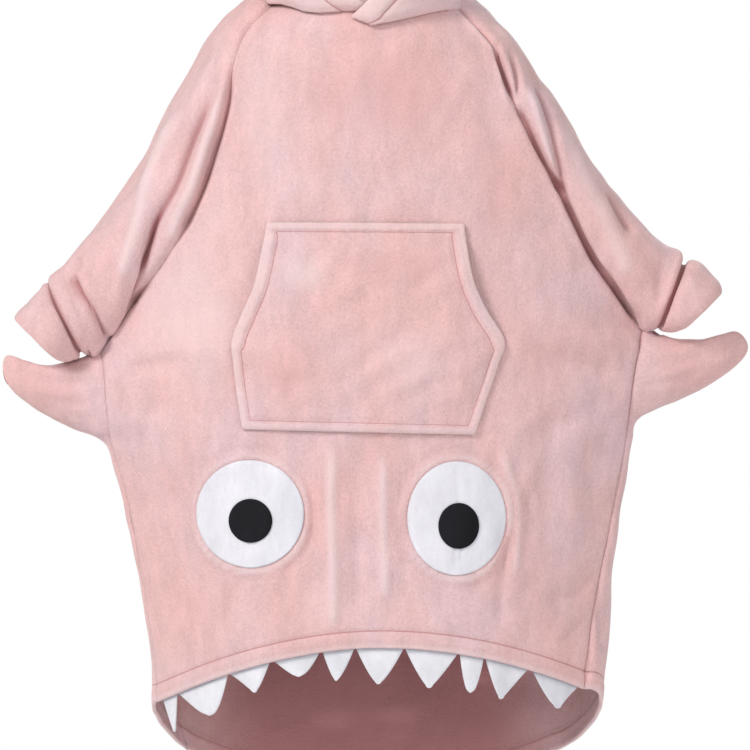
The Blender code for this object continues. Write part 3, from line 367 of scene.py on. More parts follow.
# Patches on the front, partly where the brushed nap lies another way and partly painted light
# and painted shade where the light falls more or less. Columns: x, z, half width, half height,
# shade (pale above 0, deeper in colour below 0).
NAP_AND_LIGHT_PATCHES = [
    (0.045, -0.15, 0.12, 0.085, -0.75),
    (-0.135, -0.17, 0.05, 0.09, 0.55),
    (-0.06, -0.29, 0.09, 0.035, 0.25),
    (0.165, -0.08, 0.03, 0.06, 0.35),
    (0.2, -0.29, 0.06, 0.11, -0.5),
    (0.12, -0.27, 0.04, 0.04, 0.2),
    (-0.25, -0.48, 0.09, 0.1, 0.7),
    (-0.215, -0.33, 0.04, 0.06, 0.35),
    (-0.08, -0.415, 0.04, 0.03, 0.8),
    (0.07, -0.4, 0.08, 0.03, -0.45),
    (-0.11, -0.56, 0.05, 0.05, -0.55),
    (0.07, -0.545, 0.08, 0.06, 0.4),
    (0.29, -0.5, 0.08, 0.11, -0.4),
    (0.34, -0.42, 0.04, 0.06, 0.2),
    (-0.28, -0.72, 0.04, 0.09, -0.3),
    (-0.23, -0.9, 0.07, 0.05, -0.35),
    (-0.06, -0.9, 0.03, 0.06, 0.45),
    (0.06, -0.9, 0.07, 0.05, 0.2),
    (0.27, -0.88, 0.08, 0.09, -0.45),
    (0.33, -0.72, 0.04, 0.09, 0.2),
    (-0.29, -1, 0.04, 0.05, 0.35),
    (-0.455, -0.59, 0.05, 0.03, -0.6),
    (0.5, -0.56, 0.05, 0.035, -0.6),
    (-0.24, -0.22, 0.03, 0.07, -0.3),
    (-0.345, -0.35, 0.03, 0.06, -0.35),
    (0.35, -0.26, 0.03, 0.08, -0.35),
]

# Folds of the pocket. Columns as in FOLDS.
POCKET_FOLDS = [
    (-1, 0.003, 0.016, 0, 0.04, -0.12, -0.4, -0.06, -0.47, -0.01, -0.54),
    (-1, 0.0035, 0.016, 0, 0.04, 0.13, -0.39, 0.08, -0.45, 0.05, -0.53),
    (-1, 0.003, 0.014, 0, 0.04, -0.15, -0.56, -0.08, -0.575, 0, -0.57),
    (-1, 0.003, 0.014, 0, 0.04, 0.16, -0.56, 0.09, -0.585, 0.03, -0.6),
    (-1, 0.002, 0.01, 0, 0.02, -0.12, -0.625, -0.105, -0.6, -0.1, -0.57),
    (-1, 0.002, 0.01, 0, 0.02, 0.1, -0.635, 0.105, -0.605, 0.12, -0.58),
]

# Soft hollows in the hood. Columns: centre, half sizes along x, y and z, depth.
HOOD_CREASES = [
    ((-0.13, -0.045, 0.055), (0.03, 0.06, 0.012), 0.006),
    ((0.13, -0.04, 0.062), (0.03, 0.065, 0.013), 0.006),
    ((-0.11, 0.085, 0.085), (0.06, 0.03, 0.014), 0.006),
    ((0.105, 0.09, 0.075), (0.06, 0.03, 0.014), 0.006),
    ((-0.14, 0.02, 0.12), (0.03, 0.05, 0.016), 0.0045),
    ((0.142, 0.03, 0.13), (0.03, 0.05, 0.018), 0.0045),
    ((0, 0.15, 0.12), (0.07, 0.03, 0.014), 0.005),
]

# How plainly a seam shows, from the neck down. Columns: z, strength on the left, on the right.
SEAM_SHOWS = [
    (0.05, 0.2, 0.45),
    (-0.05, 0.3, 0.7),
    (-0.1, 0.35, 0.95),
    (-0.15, 0.75, 0.95),
    (-0.33, 0.75, 1),
    (-0.37, 0.2, 1),
    (-0.42, 0.2, 1),
    (-0.44, 1, 1),
    (-0.5, 0.9, 1),
    (-0.53, 0.45, 0.75),
    (-0.62, 0.35, 0.75),
    (-0.66, 0.05, 0.2),
    (-0.83, 0, 0.25),
    (-0.86, 0, 0.6),
    (-1.2, 0, 0.6),
]


# Grid helpers. A patch is a grid of points; its faces are turned outward by its flip.
def blend(before, start, end, after, share):
    """A share of the way from start to end, on a smooth curve that also heeds their neighbours."""
    lead_in, lead_out = (end - before) / 2, (after - start) / 2
    return (
        start * (2 * share**3 - 3 * share**2 + 1)
        + lead_in * (share**3 - 2 * share**2 + share)
        + end * (3 * share**2 - 2 * share**3)
        + lead_out * (share**3 - share**2)
    )


def between(table, where):
    """The table's rows at fractional positions, on a smooth curve through its rows."""
    rows = np.asarray(table, float)
    where = np.asarray(where, float)
    low = np.clip(np.floor(where).astype(int), 0, len(rows) - 2)
    share = (where - low)[..., None]
    start, end = rows[low], rows[low + 1]
    before = np.where((low > 0)[..., None], rows[np.maximum(low - 1, 0)], 2 * start - end)
    after_row = np.minimum(low + 2, len(rows) - 1)
    after = np.where((low + 2 < len(rows))[..., None], rows[after_row], 2 * end - start)
    return blend(before, start, end, after, share)


def sleeve_points(table, rows, turns):
    """Points of a sleeve, turn 0 at the front seam, 0.5 on the outer line, 1 at the back seam."""
    values = between(table, rows)
    front, outer, back = values[..., 0:3], values[..., 3:6], values[..., 6:9]
    depth, closed = values[..., 9], np.clip(values[..., 10], 0, 1)
    beyond = (np.asarray(rows) >= UNDERARM)[..., None]
    back = np.where(beyond, front, back)
    closed = np.where(beyond[..., 0], 1.0, closed)
    centre, half = (front + back) / 2, (front - back) / 2
    angle = math.pi * np.asarray(turns)
    reach = (1 - closed) * np.sin(angle) + closed * (1 - np.cos(2 * angle)) / 2
    points = centre + (outer - centre) * reach[..., None] + half * np.cos(angle)[..., None]
    points[..., 1] -= depth * np.sin(2 * angle)
    return points


def cuff_points(table, rows, turns):
    """Points of a cuff, turn 0 and 1 at the lowest point, 0.25 at the front, 0.5 at the top."""
    values = between(table, rows)
    lowest, highest, depth = values[..., 0:3], values[..., 3:6], values[..., 6]
    angle = 2 * math.pi * np.asarray(turns)
    points = lowest + (highest - lowest) * ((1 - np.cos(angle)) / 2)[..., None]
    points[..., 1] -= depth * np.sin(angle)
    return points


def signed_power(values, power):
    return np.sign(values) * np.abs(values) ** power


def side_points(table, rows, turns):
    """Points of the body's side: turn 0 at the side seam, 0.5 on the outline, 1 at the back."""
    values = between(table, rows)
    seam, outline, back = values[..., 0:3], values[..., 3:6], values[..., 6:9]
    centre, half = (seam + back) / 2, (seam - back) / 2
    angle, power = math.pi * np.asarray(turns), 2 / values[..., 9]
    reach = signed_power(np.sin(angle), power)[..., None]
    points = centre + (outline - centre) * reach
    points += half * signed_power(np.cos(angle), power)[..., None]
    return np.where((np.asarray(rows) <= 0)[..., None], seam, points)


def edge_points(sleeve, side, rows, back):
    """Where a panel's edge lies at rows from the neck: a raglan seam, then the side seam."""
    rows = np.asarray(rows, float)
    turn = np.full(rows.shape, 1.0 if back else 0.0)
    upper = sleeve_points(sleeve, np.minimum(rows, UNDERARM), turn)
    lower = side_points(side, np.maximum(rows - UNDERARM, 0), turn)
    return np.where((rows <= UNDERARM)[..., None], upper, lower)


def panel_points(rows, across, back):
    """Points of the front or back panel, across from -1 at its left edge to 1 at its right."""
    rows, across = np.broadcast_arrays(np.asarray(rows, float), np.asarray(across, float))
    left = edge_points(SLEEVE_LEFT, SIDE_LEFT, rows, back)
    right = edge_points(SLEEVE_RIGHT, SIDE_RIGHT, rows, back)
    centre = between(CENTRE, rows)
    depth, rise, square = (centre[..., i + (3 if back else 0)] for i in range(3))
    share = ((across + 1) / 2)[..., None]
    points = left * (1 - share) + right * share
    bow = 1 - np.abs(across) ** square
    points[..., 1] += (depth - points[..., 1]) * bow
    points[..., 2] += rise * (1 - across**2)
    return points


def collar_points(around, rows, mirror):
    """Points of the body's outer face near the neck: places round it, and rows down from it."""
    toward = -1 if mirror else 1
    front = panel_points(rows, np.clip(toward * around / FRONT_SHARE, -1, 1), False)
    back = panel_points(rows, np.clip(toward * (1 - around) / (1 - BACK_SHARE), -1, 1), True)
    turn = np.clip((around - FRONT_SHARE) / (BACK_SHARE - FRONT_SHARE), 0, 1)
    yoke = sleeve_points(SLEEVE_LEFT if mirror else SLEEVE_RIGHT, rows, turn)
    points = np.where((around < FRONT_SHARE)[..., None], front, yoke)
    return np.where((around > BACK_SHARE)[..., None], back, points)


def hood_foot(around, mirror, rows, stand):
    """Where a hood half is sewn: off the body's outer face by a stated stand."""
    step = 0.01
    point = collar_points(around, rows, mirror)
    before, after = (collar_points(around + way * step, rows, mirror) for way in (-1, 1))
    above, below = (collar_points(around, rows + way * 4 * step, mirror) for way in (-1, 1))
    out = np.cross(after - before, below - above)
    out = normalised(out)
    toward = np.sum(out * (point + np.array((0, 0, 0.05))), axis=-1, keepdims=True)
    return point + np.where(toward < 0, -out, out) * stand[..., None]


def hood_points(rows, rises, mirror):
    """Points of a hood half, rise 0 at the foot and 4 on the centre seam."""
    values = between(HOOD, rows)
    side_way = np.array((-1 if mirror else 1, 1, 1))
    around = values[..., 0]
    places, downs = np.array(HOOD_FOOT_LEFT if mirror else HOOD_FOOT_RIGHT).T
    bend = np.exp(-(((around - SHOULDER_PLACE) / SHOULDER_REACH) ** 2))
    stand = CLOTH + HOOD_GAP + SHOULDER_LIFT * bend
    foot = hood_foot(around, mirror, np.interp(around, places, downs), stand)
    cheek, side, temple = (values[..., i : i + 3] * side_way for i in (1, 4, 7))
    seam = np.stack([np.zeros(around.shape), values[..., 10], values[..., 11]], axis=-1)
    beyond = temple * np.array((-1, 1, 1))
    knots = [foot, cheek, side, temple, seam, beyond]
    low = np.clip(np.floor(rises).astype(int), 0, 3)
    share = (rises - low)[..., None]

    def pick(shift):
        index = low + shift
        found = np.where((index < 0)[..., None], 2 * foot - cheek, knots[0])
        for number, knot in enumerate(knots):
            found = np.where((index == number)[..., None], knot, found)
        return found

    points = blend(pick(-1), pick(0), pick(1), pick(2), share)
    points[..., 0] = np.where(rises >= 4, 0.0, points[..., 0])
    if not mirror:
        close = np.exp(-((np.hypot(points[..., 0], points[..., 2] + 0.02) / LAPEL_REACH) ** 2))
        points[..., 1] -= LAPEL_LIFT * np.minimum(1.0, LAPEL_FLAT * close)
    last = (rows >= len(HOOD) - 1)[..., None]
    return np.where(last, foot, points)


# Fine grids: how many steps each stretch of rows and columns is cut into.
RAGLAN_STEPS = 130
SIDE_STEPS = 8
HEM_STEPS = 18
FRONT_COLUMNS = 172
BACK_COLUMNS = 96
SIDE_COLUMNS = 56
RING_COLUMNS = 156
SLEEVE_END_STEPS = 24
CUFF_STEPS = 60
HOOD_ROWS = 110
HOOD_COLUMNS = 84
WELD_STEP = 2e-6


def body_rows():
    """Rows from the neck to the hem, closer together at the hem for its stitching."""
    last = len(SIDE_RIGHT) - 1
    upper = np.linspace(0, UNDERARM, RAGLAN_STEPS + 1)
    middle = UNDERARM + np.linspace(0, last - 2, SIDE_STEPS * (last - 2) + 1)[1:]
    hem = UNDERARM + np.linspace(last - 2, last, 2 * HEM_STEPS + 1)[1:]
    return np.concatenate([upper, middle, hem])


def grid(function, rows, columns):
    """A grid of points with what a function of row and column arrays gives."""
    spread_rows, spread_columns = np.meshgrid(rows, columns, indexing="ij")
    return function(spread_rows, spread_columns)


def garment_patches():
    """(piece, grid, flip) of the body, sleeves and cuffs."""
    rows = body_rows()
    side_rows = rows[rows >= UNDERARM] - UNDERARM
    raglan_rows = rows[rows <= UNDERARM]
    rings = np.linspace(0, 1, RING_COLUMNS + 1)
    front = np.linspace(-1, 1, FRONT_COLUMNS + 1)
    back = np.linspace(-1, 1, BACK_COLUMNS + 1)
    sides = np.linspace(0, 1, SIDE_COLUMNS + 1)

    def tube(function, table, tube_rows, turns):
        return grid(lambda r, c: function(table, r, c), tube_rows, turns)

    patches = [
        ("front_panel", grid(lambda r, c: panel_points(r, c, False), rows, front), True),
        ("back_panel", grid(lambda r, c: panel_points(r, c, True), rows, back), False),
    ]
    for name, side, sleeve, cuff, flip in (
        ("left", SIDE_LEFT, SLEEVE_LEFT, CUFF_LEFT, False),
        ("right", SIDE_RIGHT, SLEEVE_RIGHT, CUFF_RIGHT, True),
    ):
        lower = np.linspace(UNDERARM, len(sleeve) - 1, SLEEVE_END_STEPS + 1)[1:]
        sleeve_rows = np.concatenate([raglan_rows, lower])
        cuff_rows = np.linspace(0, len(cuff) - 1, CUFF_STEPS + 1)
        patches += [
            ("back_panel", tube(side_points, side, side_rows, sides), flip),
            (f"sleeve_{name}", tube(sleeve_points, sleeve, sleeve_rows, rings), flip),
            (f"cuff_{name}", tube(cuff_points, cuff, cuff_rows, rings), flip),
        ]
    return patches


def hood_patches():
    rows = np.linspace(0, len(HOOD) - 1, HOOD_ROWS + 1)
    rises = np.linspace(0, 4, HOOD_COLUMNS + 1)
    return [
        ("hood_left", grid(lambda r, c: hood_points(r, c, True), rows, rises), False),
        ("hood_right", grid(lambda r, c: hood_points(r, c, False), rows, rises), True),
    ]


def normalised(vectors):
    return vectors / np.maximum(np.linalg.norm(vectors, axis=-1, keepdims=True), 1e-12)


class Surface:
    """One sewn surface: points, four-sided faces, the piece of each, and where its seams lie."""

    def __init__(self, patches):
        self.names = sorted({name for name, _, _ in patches})
        points, quads, pieces, start = [], [], [], 0
        for name, points_grid, flip in patches:
            rows, columns = points_grid.shape[:2]
            index = start + np.arange(rows * columns).reshape(rows, columns)
            corners = index[:-1, :-1], index[:-1, 1:], index[1:, 1:], index[1:, :-1]
            quad = np.stack(corners, -1).reshape(-1, 4)
            quads.append(quad[:, ::-1] if flip else quad)
            pieces.append(np.full(len(quad), self.names.index(name)))
            points.append(points_grid.reshape(-1, 3))
            start += rows * columns
        points = np.concatenate(points)
        keys = np.round(points / WELD_STEP).astype(np.int64)
        _, first, place = np.unique(keys, axis=0, return_index=True, return_inverse=True)
        self.points = points[first]
        self.quads = place.reshape(-1)[np.concatenate(quads)]
        self.pieces = np.concatenate(pieces)
        self.find_edges()

    def find_edges(self):
        """Which vertices lie on seams, and the free edges with the two vertices behind each."""
        turned = np.concatenate([np.roll(self.quads, -i, axis=1) for i in range(4)])
        real = turned[:, 0] != turned[:, 1]
        start, end = turned[real, 0], turned[real, 1]
        piece = np.tile(self.pieces, 4)[real]
        low, high = np.minimum(start, end), np.maximum(start, end)
        key = low * len(self.points) + high
        _, place, uses = np.unique(key, return_inverse=True, return_counts=True)
        free = uses[place] == 1
        self.free_edges = turned[real][free]
        self.free_piece = piece[free]
        self.free = np.zeros(len(self.points), bool)
        self.free[self.free_edges[:, :2].reshape(-1)] = True
        owners = np.zeros((len(self.points), len(self.names)), bool)
        owners[self.quads.reshape(-1), np.repeat(self.pieces, 4)] = True
        self.owners = owners
        self.seam = owners.sum(1) > 1

    def owned(self, *names):
        """Which points belong to any of some pieces."""
        return self.owners[:, [self.names.index(name) for name in names]].any(1)

    def normals(self):
        corner = self.points[self.quads]
        face = np.cross(corner[:, 2] - corner[:, 0], corner[:, 3] - corner[:, 1])
        total = np.zeros_like(self.points)
        for i in range(4):
            np.add.at(total, self.quads[:, i], face)
        return normalised(total)


# Waves of the soft cloth: how many of each length, how far and over how long their crests bend,
# and what their sum is divided by. Columns: lengths of the waves, height, seed.
WAVES_EACH = 4
WAVE_BEND = (0.35, 1.7)
WAVE_SUM = 2.2
LUMPS = {
    "garment": [((0.23, 0.14, 0.085), 0.0034, 5), ((0.05, 0.034), 0.0009, 11)],
    "hood": [((0.19, 0.11, 0.07), 0.0048, 23)],
    "pocket": [((0.11, 0.07), 0.0028, 31), ((0.04,), 0.0007, 37)],
}

# How the cloth is finished near its edges, in metres.
HEM_WIDTH = 0.024
HEM_PUFF = 0.0022
HEM_ON_SIDES = 0.30
FACING_GAIN = 2.2
STITCH_DEPTH = 0.0022
STITCH_WIDTH = 0.0030
SEAM_DEPTH = 0.0030
SEAM_WIDTH = 0.0036
SEAM_PUFF = (0.0012, 0.010, 0.006)
SEAM_LINE = (0.0006, 0.0022)
EYE_RIDGE = (0.0042, 0.0060, 0.0046)
EYE_GROOVE = (0.0014, 0.0165, 0.004)
RIM_ROUND = 0.9
FACE_HEM = 0.028
FACE_START = (-0.021, 0.10)
FACE_BACK = -0.09
FOOT_TOP = 0.045
FOOT_ROLLS = [(0.0050, 0.012, 0.012), (0.0012, 0.040, 0.016)]
# Painted highlight on the hood's foot roll (height, place, width), and painted light over the whole
# hood.
FOOT_ROLL_HIGHLIGHT = (0.55, 0.018, 0.022)
HOOD_PAINTED_LIGHT = 0.30
SLEEVE_ROLL = (0.0028, 0.020, 0.011)
SLEEVE_ROLL_WAVES = (61.0, 23.0, 47.0)
CUFF_VALLEY = (0.0030, 0.0, 0.0034)
LIP_ROLL = (0.0016, 0.014, 0.010)
LIP_ROW = 3.2
LIP_POINTS = 97
CALM_AT_UNDERARM = (0.004, 0.030)
FADE_AT_END = 0.03
PLAIN_SEAM_REACH = 0.012

# Painted light in the colour marks: the depth where a fold's painted shade starts, where it is
# full, and its greatest share; the depth of a ridge with full painted highlight; the painted
# highlight on an eye's rim; the painted shade along the elastic seam of a cuff.
SLEEVE_SHADE = (0.0045, 0.0140, 1)
BODY_SHADE = (0.0080, 0.0200, 0.5)
RIDGE_HIGHLIGHT_DEPTH = 0.0062
RIM_HIGHLIGHT = 0.85
CUFF_SHADE = (0.9, 0, 0.0016)

# Thickness: a folded hem is twice as thick as the cloth, a wing's edge thinner.
HEM_FOLD = (0.75, 1.12)
WING_EDGE = (0.002, 0.016)
WING_THIN = 0.25
HOOD_HEM = 0.0022
HOOD_HEM_REACH = (0.020, 0.030)

# Marks of the cloth's inner face that differ from the outer face: deep painted shade, and no seam
# line.
INSIDE = {"hollow": 0.85, "ridge": 0.0, "nap": 0.0, "seam": 0.05}
# Painted shade on the tail's inside eases toward its sides: by how much, and between which x and z.
TAIL_LIGHT = 0.42
TAIL_SIDES = (0.15, 0.30)
TAIL_TOP = (-1.0, -0.85)
TAIL_CENTRE = 0.02


def distance_to(points, targets):
    """How far each point is from the nearest of some target points."""
    if len(targets) == 0:
        return np.full(len(points), 9.0)
    tree = KDTree(len(targets))
    for number, target in enumerate(targets):
        tree.insert(target, number)
    tree.balance()
    return np.array([tree.find(point)[2] for point in points])


def bell(values, width):
    return np.exp(-((values / width) ** 2))


def swell(distance, height, place, width):
    """A rounded ridge at a place off an edge."""
    return height * bell(distance - place, width)


def ramp(values, start, end):
    """0 before start and 1 after end, eased."""
    share = np.clip((values - start) / (end - start), 0, 1)
    return share * share * (3 - 2 * share)


def fold_depths(points, side, table):
    """How far folds press the surface in: troughs with a lip on one side, faded at both ends."""
    depth = np.zeros(len(points))
    flat = points[:, [0, 2]]
    for own_side, deep, wide, lip, fade, *spots in table:
        knots = np.reshape(spots, (-1, 2))
        line = between(knots, np.linspace(0, len(knots) - 1, 10 * len(knots)))
        reach = 4 * wide
        near = (flat > line.min(0) - reach).all(1) & (flat < line.max(0) + reach).all(1)
        near &= side == own_side
        if not near.any():
            continue
        spots = flat[near]
        best = np.full(len(spots), 9.0)
        signed, where = np.zeros(len(spots)), np.zeros(len(spots))
        done = 0.0
        for start, end in zip(line, line[1:]):
            run = end - start
            length = np.hypot(*run)
            along = np.clip((spots - start) @ run / (run @ run), 0, 1)
            off = spots - start - along[:, None] * run
            away = np.hypot(off[:, 0], off[:, 1])
            closer = away < best
            best = np.where(closer, away, best)
            signed = np.where(closer, run[0] * off[:, 1] - run[1] * off[:, 0], signed)
            where = np.where(closer, done + along * length, where)
            done += length
        signed = np.sign(signed) * best
        taper = ramp(where, 0, fade) * (1 - ramp(where, done - min(fade, FADE_AT_END), done))
        ridge = abs(lip) * bell(signed - math.copysign(2.0 * wide, lip), 1.1 * wide)
        depth[near] += deep * taper * (bell(best, wide) - ridge)
    return depth


def lumps(points, table):
    """Soft uneven cloth by rows of LUMPS: waves in several directions."""
    total = np.zeros(len(points))
    for sizes, height, seed in table:
        chance = np.random.default_rng(seed)
        waves = np.zeros(len(points))
        for size in sizes:
            for _ in range(WAVES_EACH):
                way = normalised(chance.normal(size=3)[None])[0]
                phase = chance.uniform(0, 2 * math.pi)
                aside = points @ np.roll(way, 1) * (2 * math.pi / (WAVE_BEND[1] * size))
                bend = WAVE_BEND[0] * np.sin(aside + phase * 2)
                waves += np.sin(points @ way * (2 * math.pi / size) + phase + bend) * size
        total += height * waves / (sum(sizes) * WAVE_SUM)
    return total


def ellipse_distance(x, z, eye):
    """Signed distance from an eye's outline, seen from the front."""
    across, up = (x - eye[0]) / eye[2], (z - eye[1]) / eye[3]
    radius = np.hypot(across, up)
    return (radius - 1) * (eye[2] + eye[3]) / 2


def eye_borders(points, side):
    """The soft raised rim of fleece round each eye, and the seat of the eye within it."""
    raised = np.zeros(len(points))
    for eye in EYES.values():
        away = ellipse_distance(points[:, 0], points[:, 2], eye)
        turn = np.arctan2(points[:, 2] - eye[1], points[:, 0] - eye[0])
        wobble = 0.15 * np.sin(turn * 7 + eye[0] * 40) + 0.25 * np.cos(turn + 0.9)
        rim = (1 + wobble) * swell(away, *EYE_RIDGE)
        raised += np.where(side < 0, rim - swell(away, *EYE_GROOVE), 0.0)
    return raised


def edge_finish(distance, width):
    """A folded hem: the band puffs between the edge and its line of stitching."""
    band = swell(distance, HEM_PUFF, 0.5 * width, 0.42 * width)
    return band - swell(distance, STITCH_DEPTH, width, STITCH_WIDTH)


def seam_groove(distance):
    """A sewn seam: a groove with a soft puff beside it."""
    return SEAM_DEPTH * bell(distance, SEAM_WIDTH) - swell(distance, *SEAM_PUFF)


def fold_shade(depth, shade):
    """How much painted shade darkens a fold of some depth, by the columns of SLEEVE_SHADE."""
    start, full, most = shade
    return np.clip((depth - start) / (full - start), 0, most)


def seam_strength(points):
    """How plainly the seams show at each point, by SEAM_SHOWS."""
    heights, left, right = np.array(SEAM_SHOWS[::-1]).T
    strength = np.interp(points[:, 2], heights, left)
    return np.where(points[:, 0] > 0, np.interp(points[:, 2], heights, right), strength)


def shape_garment(surface):
    """Press the folds, seams and hems into the body. The marks that colour its cloth come back,
    with painted shade in folds and at the cuff seams and painted highlight on ridges and eye rims.
    """
    points = surface.points
    normals = surface.normals()
    side = np.where(normals[:, 1] < 0, -1, 1)
    facing = np.minimum(1, np.abs(normals[:, 1]) * FACING_GAIN)
    underarms = np.array([SLEEVE_LEFT[UNDERARM][0:3], SLEEVE_RIGHT[UNDERARM][0:3]])
    calm = ramp(distance_to(points, underarms), *CALM_AT_UNDERARM)
    to_seam = distance_to(points, points[surface.seam])
    sleeves = surface.owned("sleeve_left", "sleeve_right")
    cuffs = surface.owned("cuff_left", "cuff_right")
    on_sleeve = np.where(sleeves | cuffs, 1.0, bell(to_seam, SEAM_WIDTH))
    sleeve_depth = fold_depths(points, side, SLEEVE_FOLDS) * on_sleeve * facing * calm
    body_depth = fold_depths(points, side, FOLDS) * facing * calm
    depth = sleeve_depth + body_depth
    press = depth + fold_depths(points, side, STITCHES) * facing
    press -= lumps(points, LUMPS["garment"]) * calm
    rims = eye_borders(points, side)
    press -= rims
    to_cuff = distance_to(points, points[sleeves & cuffs])
    strength = np.where(to_cuff < PLAIN_SEAM_REACH, 1.0, seam_strength(points))
    press += seam_groove(to_seam) * strength * calm
    to_hem = distance_to(points, points[surface.free & (points[:, 2] < HEM_BELOW)])
    press -= edge_finish(to_hem, HEM_WIDTH) * (HEM_ON_SIDES + (1 - HEM_ON_SIDES) * facing)
    press -= cuff_rolls(surface, points)
    surface.points = points - normals * press[:, None]
    # Painted shade: darker colour in the deeper folds and along the cuff seams.
    hidden = fold_shade(sleeve_depth, SLEEVE_SHADE) + swell(to_cuff, *CUFF_SHADE)
    hidden += np.where(side < 0, fold_shade(body_depth, BODY_SHADE), 0)
    return {
        "hollow": np.minimum(hidden, 1),
        # Painted highlight on the fold ridges and on the raised rims round the eyes.
        "ridge": np.clip(-depth / RIDGE_HIGHLIGHT_DEPTH + RIM_HIGHLIGHT * rims / EYE_RIDGE[0], 0, 1),
        # Nap patches, partly nap tone and partly painted light and painted shade.
        "nap": nap_and_painted_light(points, side),
        "seam": to_seam + SEAM_LINE[1] * (1 - strength),
        "band": to_hem / HEM_WIDTH,
    }


def nap_and_painted_light(points, side):
    """Nap tone and painted light and shade at each point, by the patches: pale above 0, deeper
    below 0.
    """
    lie = np.zeros(len(points))
    for x, z, wide, high, shade in NAP_AND_LIGHT_PATCHES:
        away = np.hypot((points[:, 0] - x) / wide, (points[:, 2] - z) / high)
        lie += np.where(side < 0, shade * bell(away, 1.0), 0.0)
    return np.clip(lie, -1, 1)


def cuff_rolls(surface, points):
    """The roll of each cuff, the valley of its elastic seam and the sleeve's roll above it."""
    raised = np.zeros(len(points))
    for name, table in (("left", CUFF_LEFT), ("right", CUFF_RIGHT)):
        cuff, sleeve = surface.owned(f"cuff_{name}"), surface.owned(f"sleeve_{name}")
        own = cuff | sleeve
        away = distance_to(points[own], points[cuff & sleeve])
        lip = distance_to(points[own], cuff_lip(table))
        soft = 1 + 0.2 * np.sin(points[own] @ np.array(SLEEVE_ROLL_WAVES))
        raised[own] += soft * swell(away, *SLEEVE_ROLL) - swell(away, *CUFF_VALLEY)
        raised[own] += np.where(cuff[own], swell(lip, *LIP_ROLL), 0.0)
    return raised


def cuff_lip(table):
    """Points round the mouth of a cuff."""
    return cuff_points(table, np.full(LIP_POINTS, LIP_ROW), np.linspace(0, 1, LIP_POINTS))


def shape_hood(surface):
    """Shape the hood's drape, edges and centre seam. Its marks and edge distances come back;
    its nap mark is painted light over the hood and a painted highlight on the roll at its foot.
    """
    points = surface.points
    normals = surface.normals()
    to_seam = distance_to(points, points[surface.seam])
    foot = surface.free & (points[:, 2] < FOOT_TOP) & ~face_edge(points)
    to_foot = distance_to(points, points[foot])
    to_face = distance_to(points, points[surface.free & face_edge(points)])
    press = seam_groove(to_seam) - lumps(points, LUMPS["hood"]) - edge_finish(to_face, FACE_HEM)
    for roll in FOOT_ROLLS:
        press -= swell(to_foot, *roll)
    for centre, wide, deep in HOOD_CREASES:
        away = np.linalg.norm((points - np.array(centre)) / np.array(wide), axis=1)
        press += deep * bell(away, 1.0)
    surface.points = points - normals * press[:, None]
    edge = np.minimum(to_face, to_foot)
    marks = {
        "hollow": np.zeros(len(points)),
        "seam": to_seam,
        "band": to_face / FACE_HEM,
        # Painted light over the whole hood, and a painted highlight on the roll at its foot.
        "nap": HOOD_PAINTED_LIGHT + swell(to_foot, *FOOT_ROLL_HIGHLIGHT),
    }
    return marks, edge


def face_edge(points):
    """Whether points of the hood's free edge lie on the face opening and not at the foot."""
    start, rise = FACE_START
    return (points[:, 1] < FACE_BACK) & (points[:, 2] > start + rise * np.abs(points[:, 0]))


def new_mesh(name, points, faces):
    mesh = bpy.data.meshes.new(name)
    mesh.from_pydata(points.tolist(), [], faces)
    mesh.validate()
    mesh.shade_smooth()
    return mesh


def cloth_object(name, surface, thick, marks, material):
    """A closed shell of one piece of a surface, its free edges rounded, ready for its material."""
    points, normals = surface.points, surface.normals()
    number = surface.names.index(name)
    quads = surface.quads[surface.pieces == number]
    used = np.unique(quads)
    place = np.full(len(points), -1)
    place[used] = np.arange(len(used))
    outer = points[used]
    inner = outer - normals[used] * thick[used][:, None]
    count = len(used)
    faces = [tuple(face) for face in place[quads].tolist()]
    layers = faces + [tuple(count + i for i in reversed(face)) for face in faces]
    layers = [tuple(dict.fromkeys(face)) for face in layers]
    layers = [face for face in layers if len(face) > 2]
    own_free = surface.free_edges[surface.free_piece == number]
    beyond = np.zeros_like(points)
    np.add.at(beyond, own_free[:, 0], points[own_free[:, 0]] - points[own_free[:, 3]])
    np.add.at(beyond, own_free[:, 1], points[own_free[:, 1]] - points[own_free[:, 2]])
    edge = np.unique(own_free[:, :2])
    rim_place = {vertex: 2 * count + i for i, vertex in enumerate(edge.tolist())}
    half = thick[edge][:, None] / 2
    rim = points[edge] - normals[edge] * half + normalised(beyond[edge]) * half * RIM_ROUND
    for start, end in own_free[:, :2].tolist():
        a, b = place[start], place[end]
        middle_a, middle_b = rim_place[start], rim_place[end]
        layers.append((b, a, middle_a, middle_b))
        layers.append((middle_b, middle_a, count + a, count + b))
    layers += seam_rims(surface, number, quads, place, count)
    mesh = new_mesh(name, np.concatenate([outer, inner, rim]), layers)
    for mark, values in marks.items():
        hidden = inner_mark(mark, values, points)[used]
        write_mark(mesh, mark, np.concatenate([values[used], hidden, values[edge]]))
    return place_piece(name, mesh, material)


def inner_mark(mark, values, points):
    """A mark on the cloth's inner face: INSIDE, with its painted shade lighter toward the sides of
    the long tail.
    """
    if mark not in INSIDE:
        return values
    inner = np.full(len(points), INSIDE[mark])
    if mark == "hollow":
        beside = ramp(np.abs(points[:, 0] - TAIL_CENTRE), *TAIL_SIDES)
        inner -= TAIL_LIGHT * beside * (1 - ramp(points[:, 2], *TAIL_TOP))
    return inner


def write_mark(mesh, name, values):
    """A number for each point of a mesh, for its material."""
    store = mesh.attributes.new(name, "FLOAT", "POINT")
    store.data.foreach_set("value", np.asarray(values, np.float32))


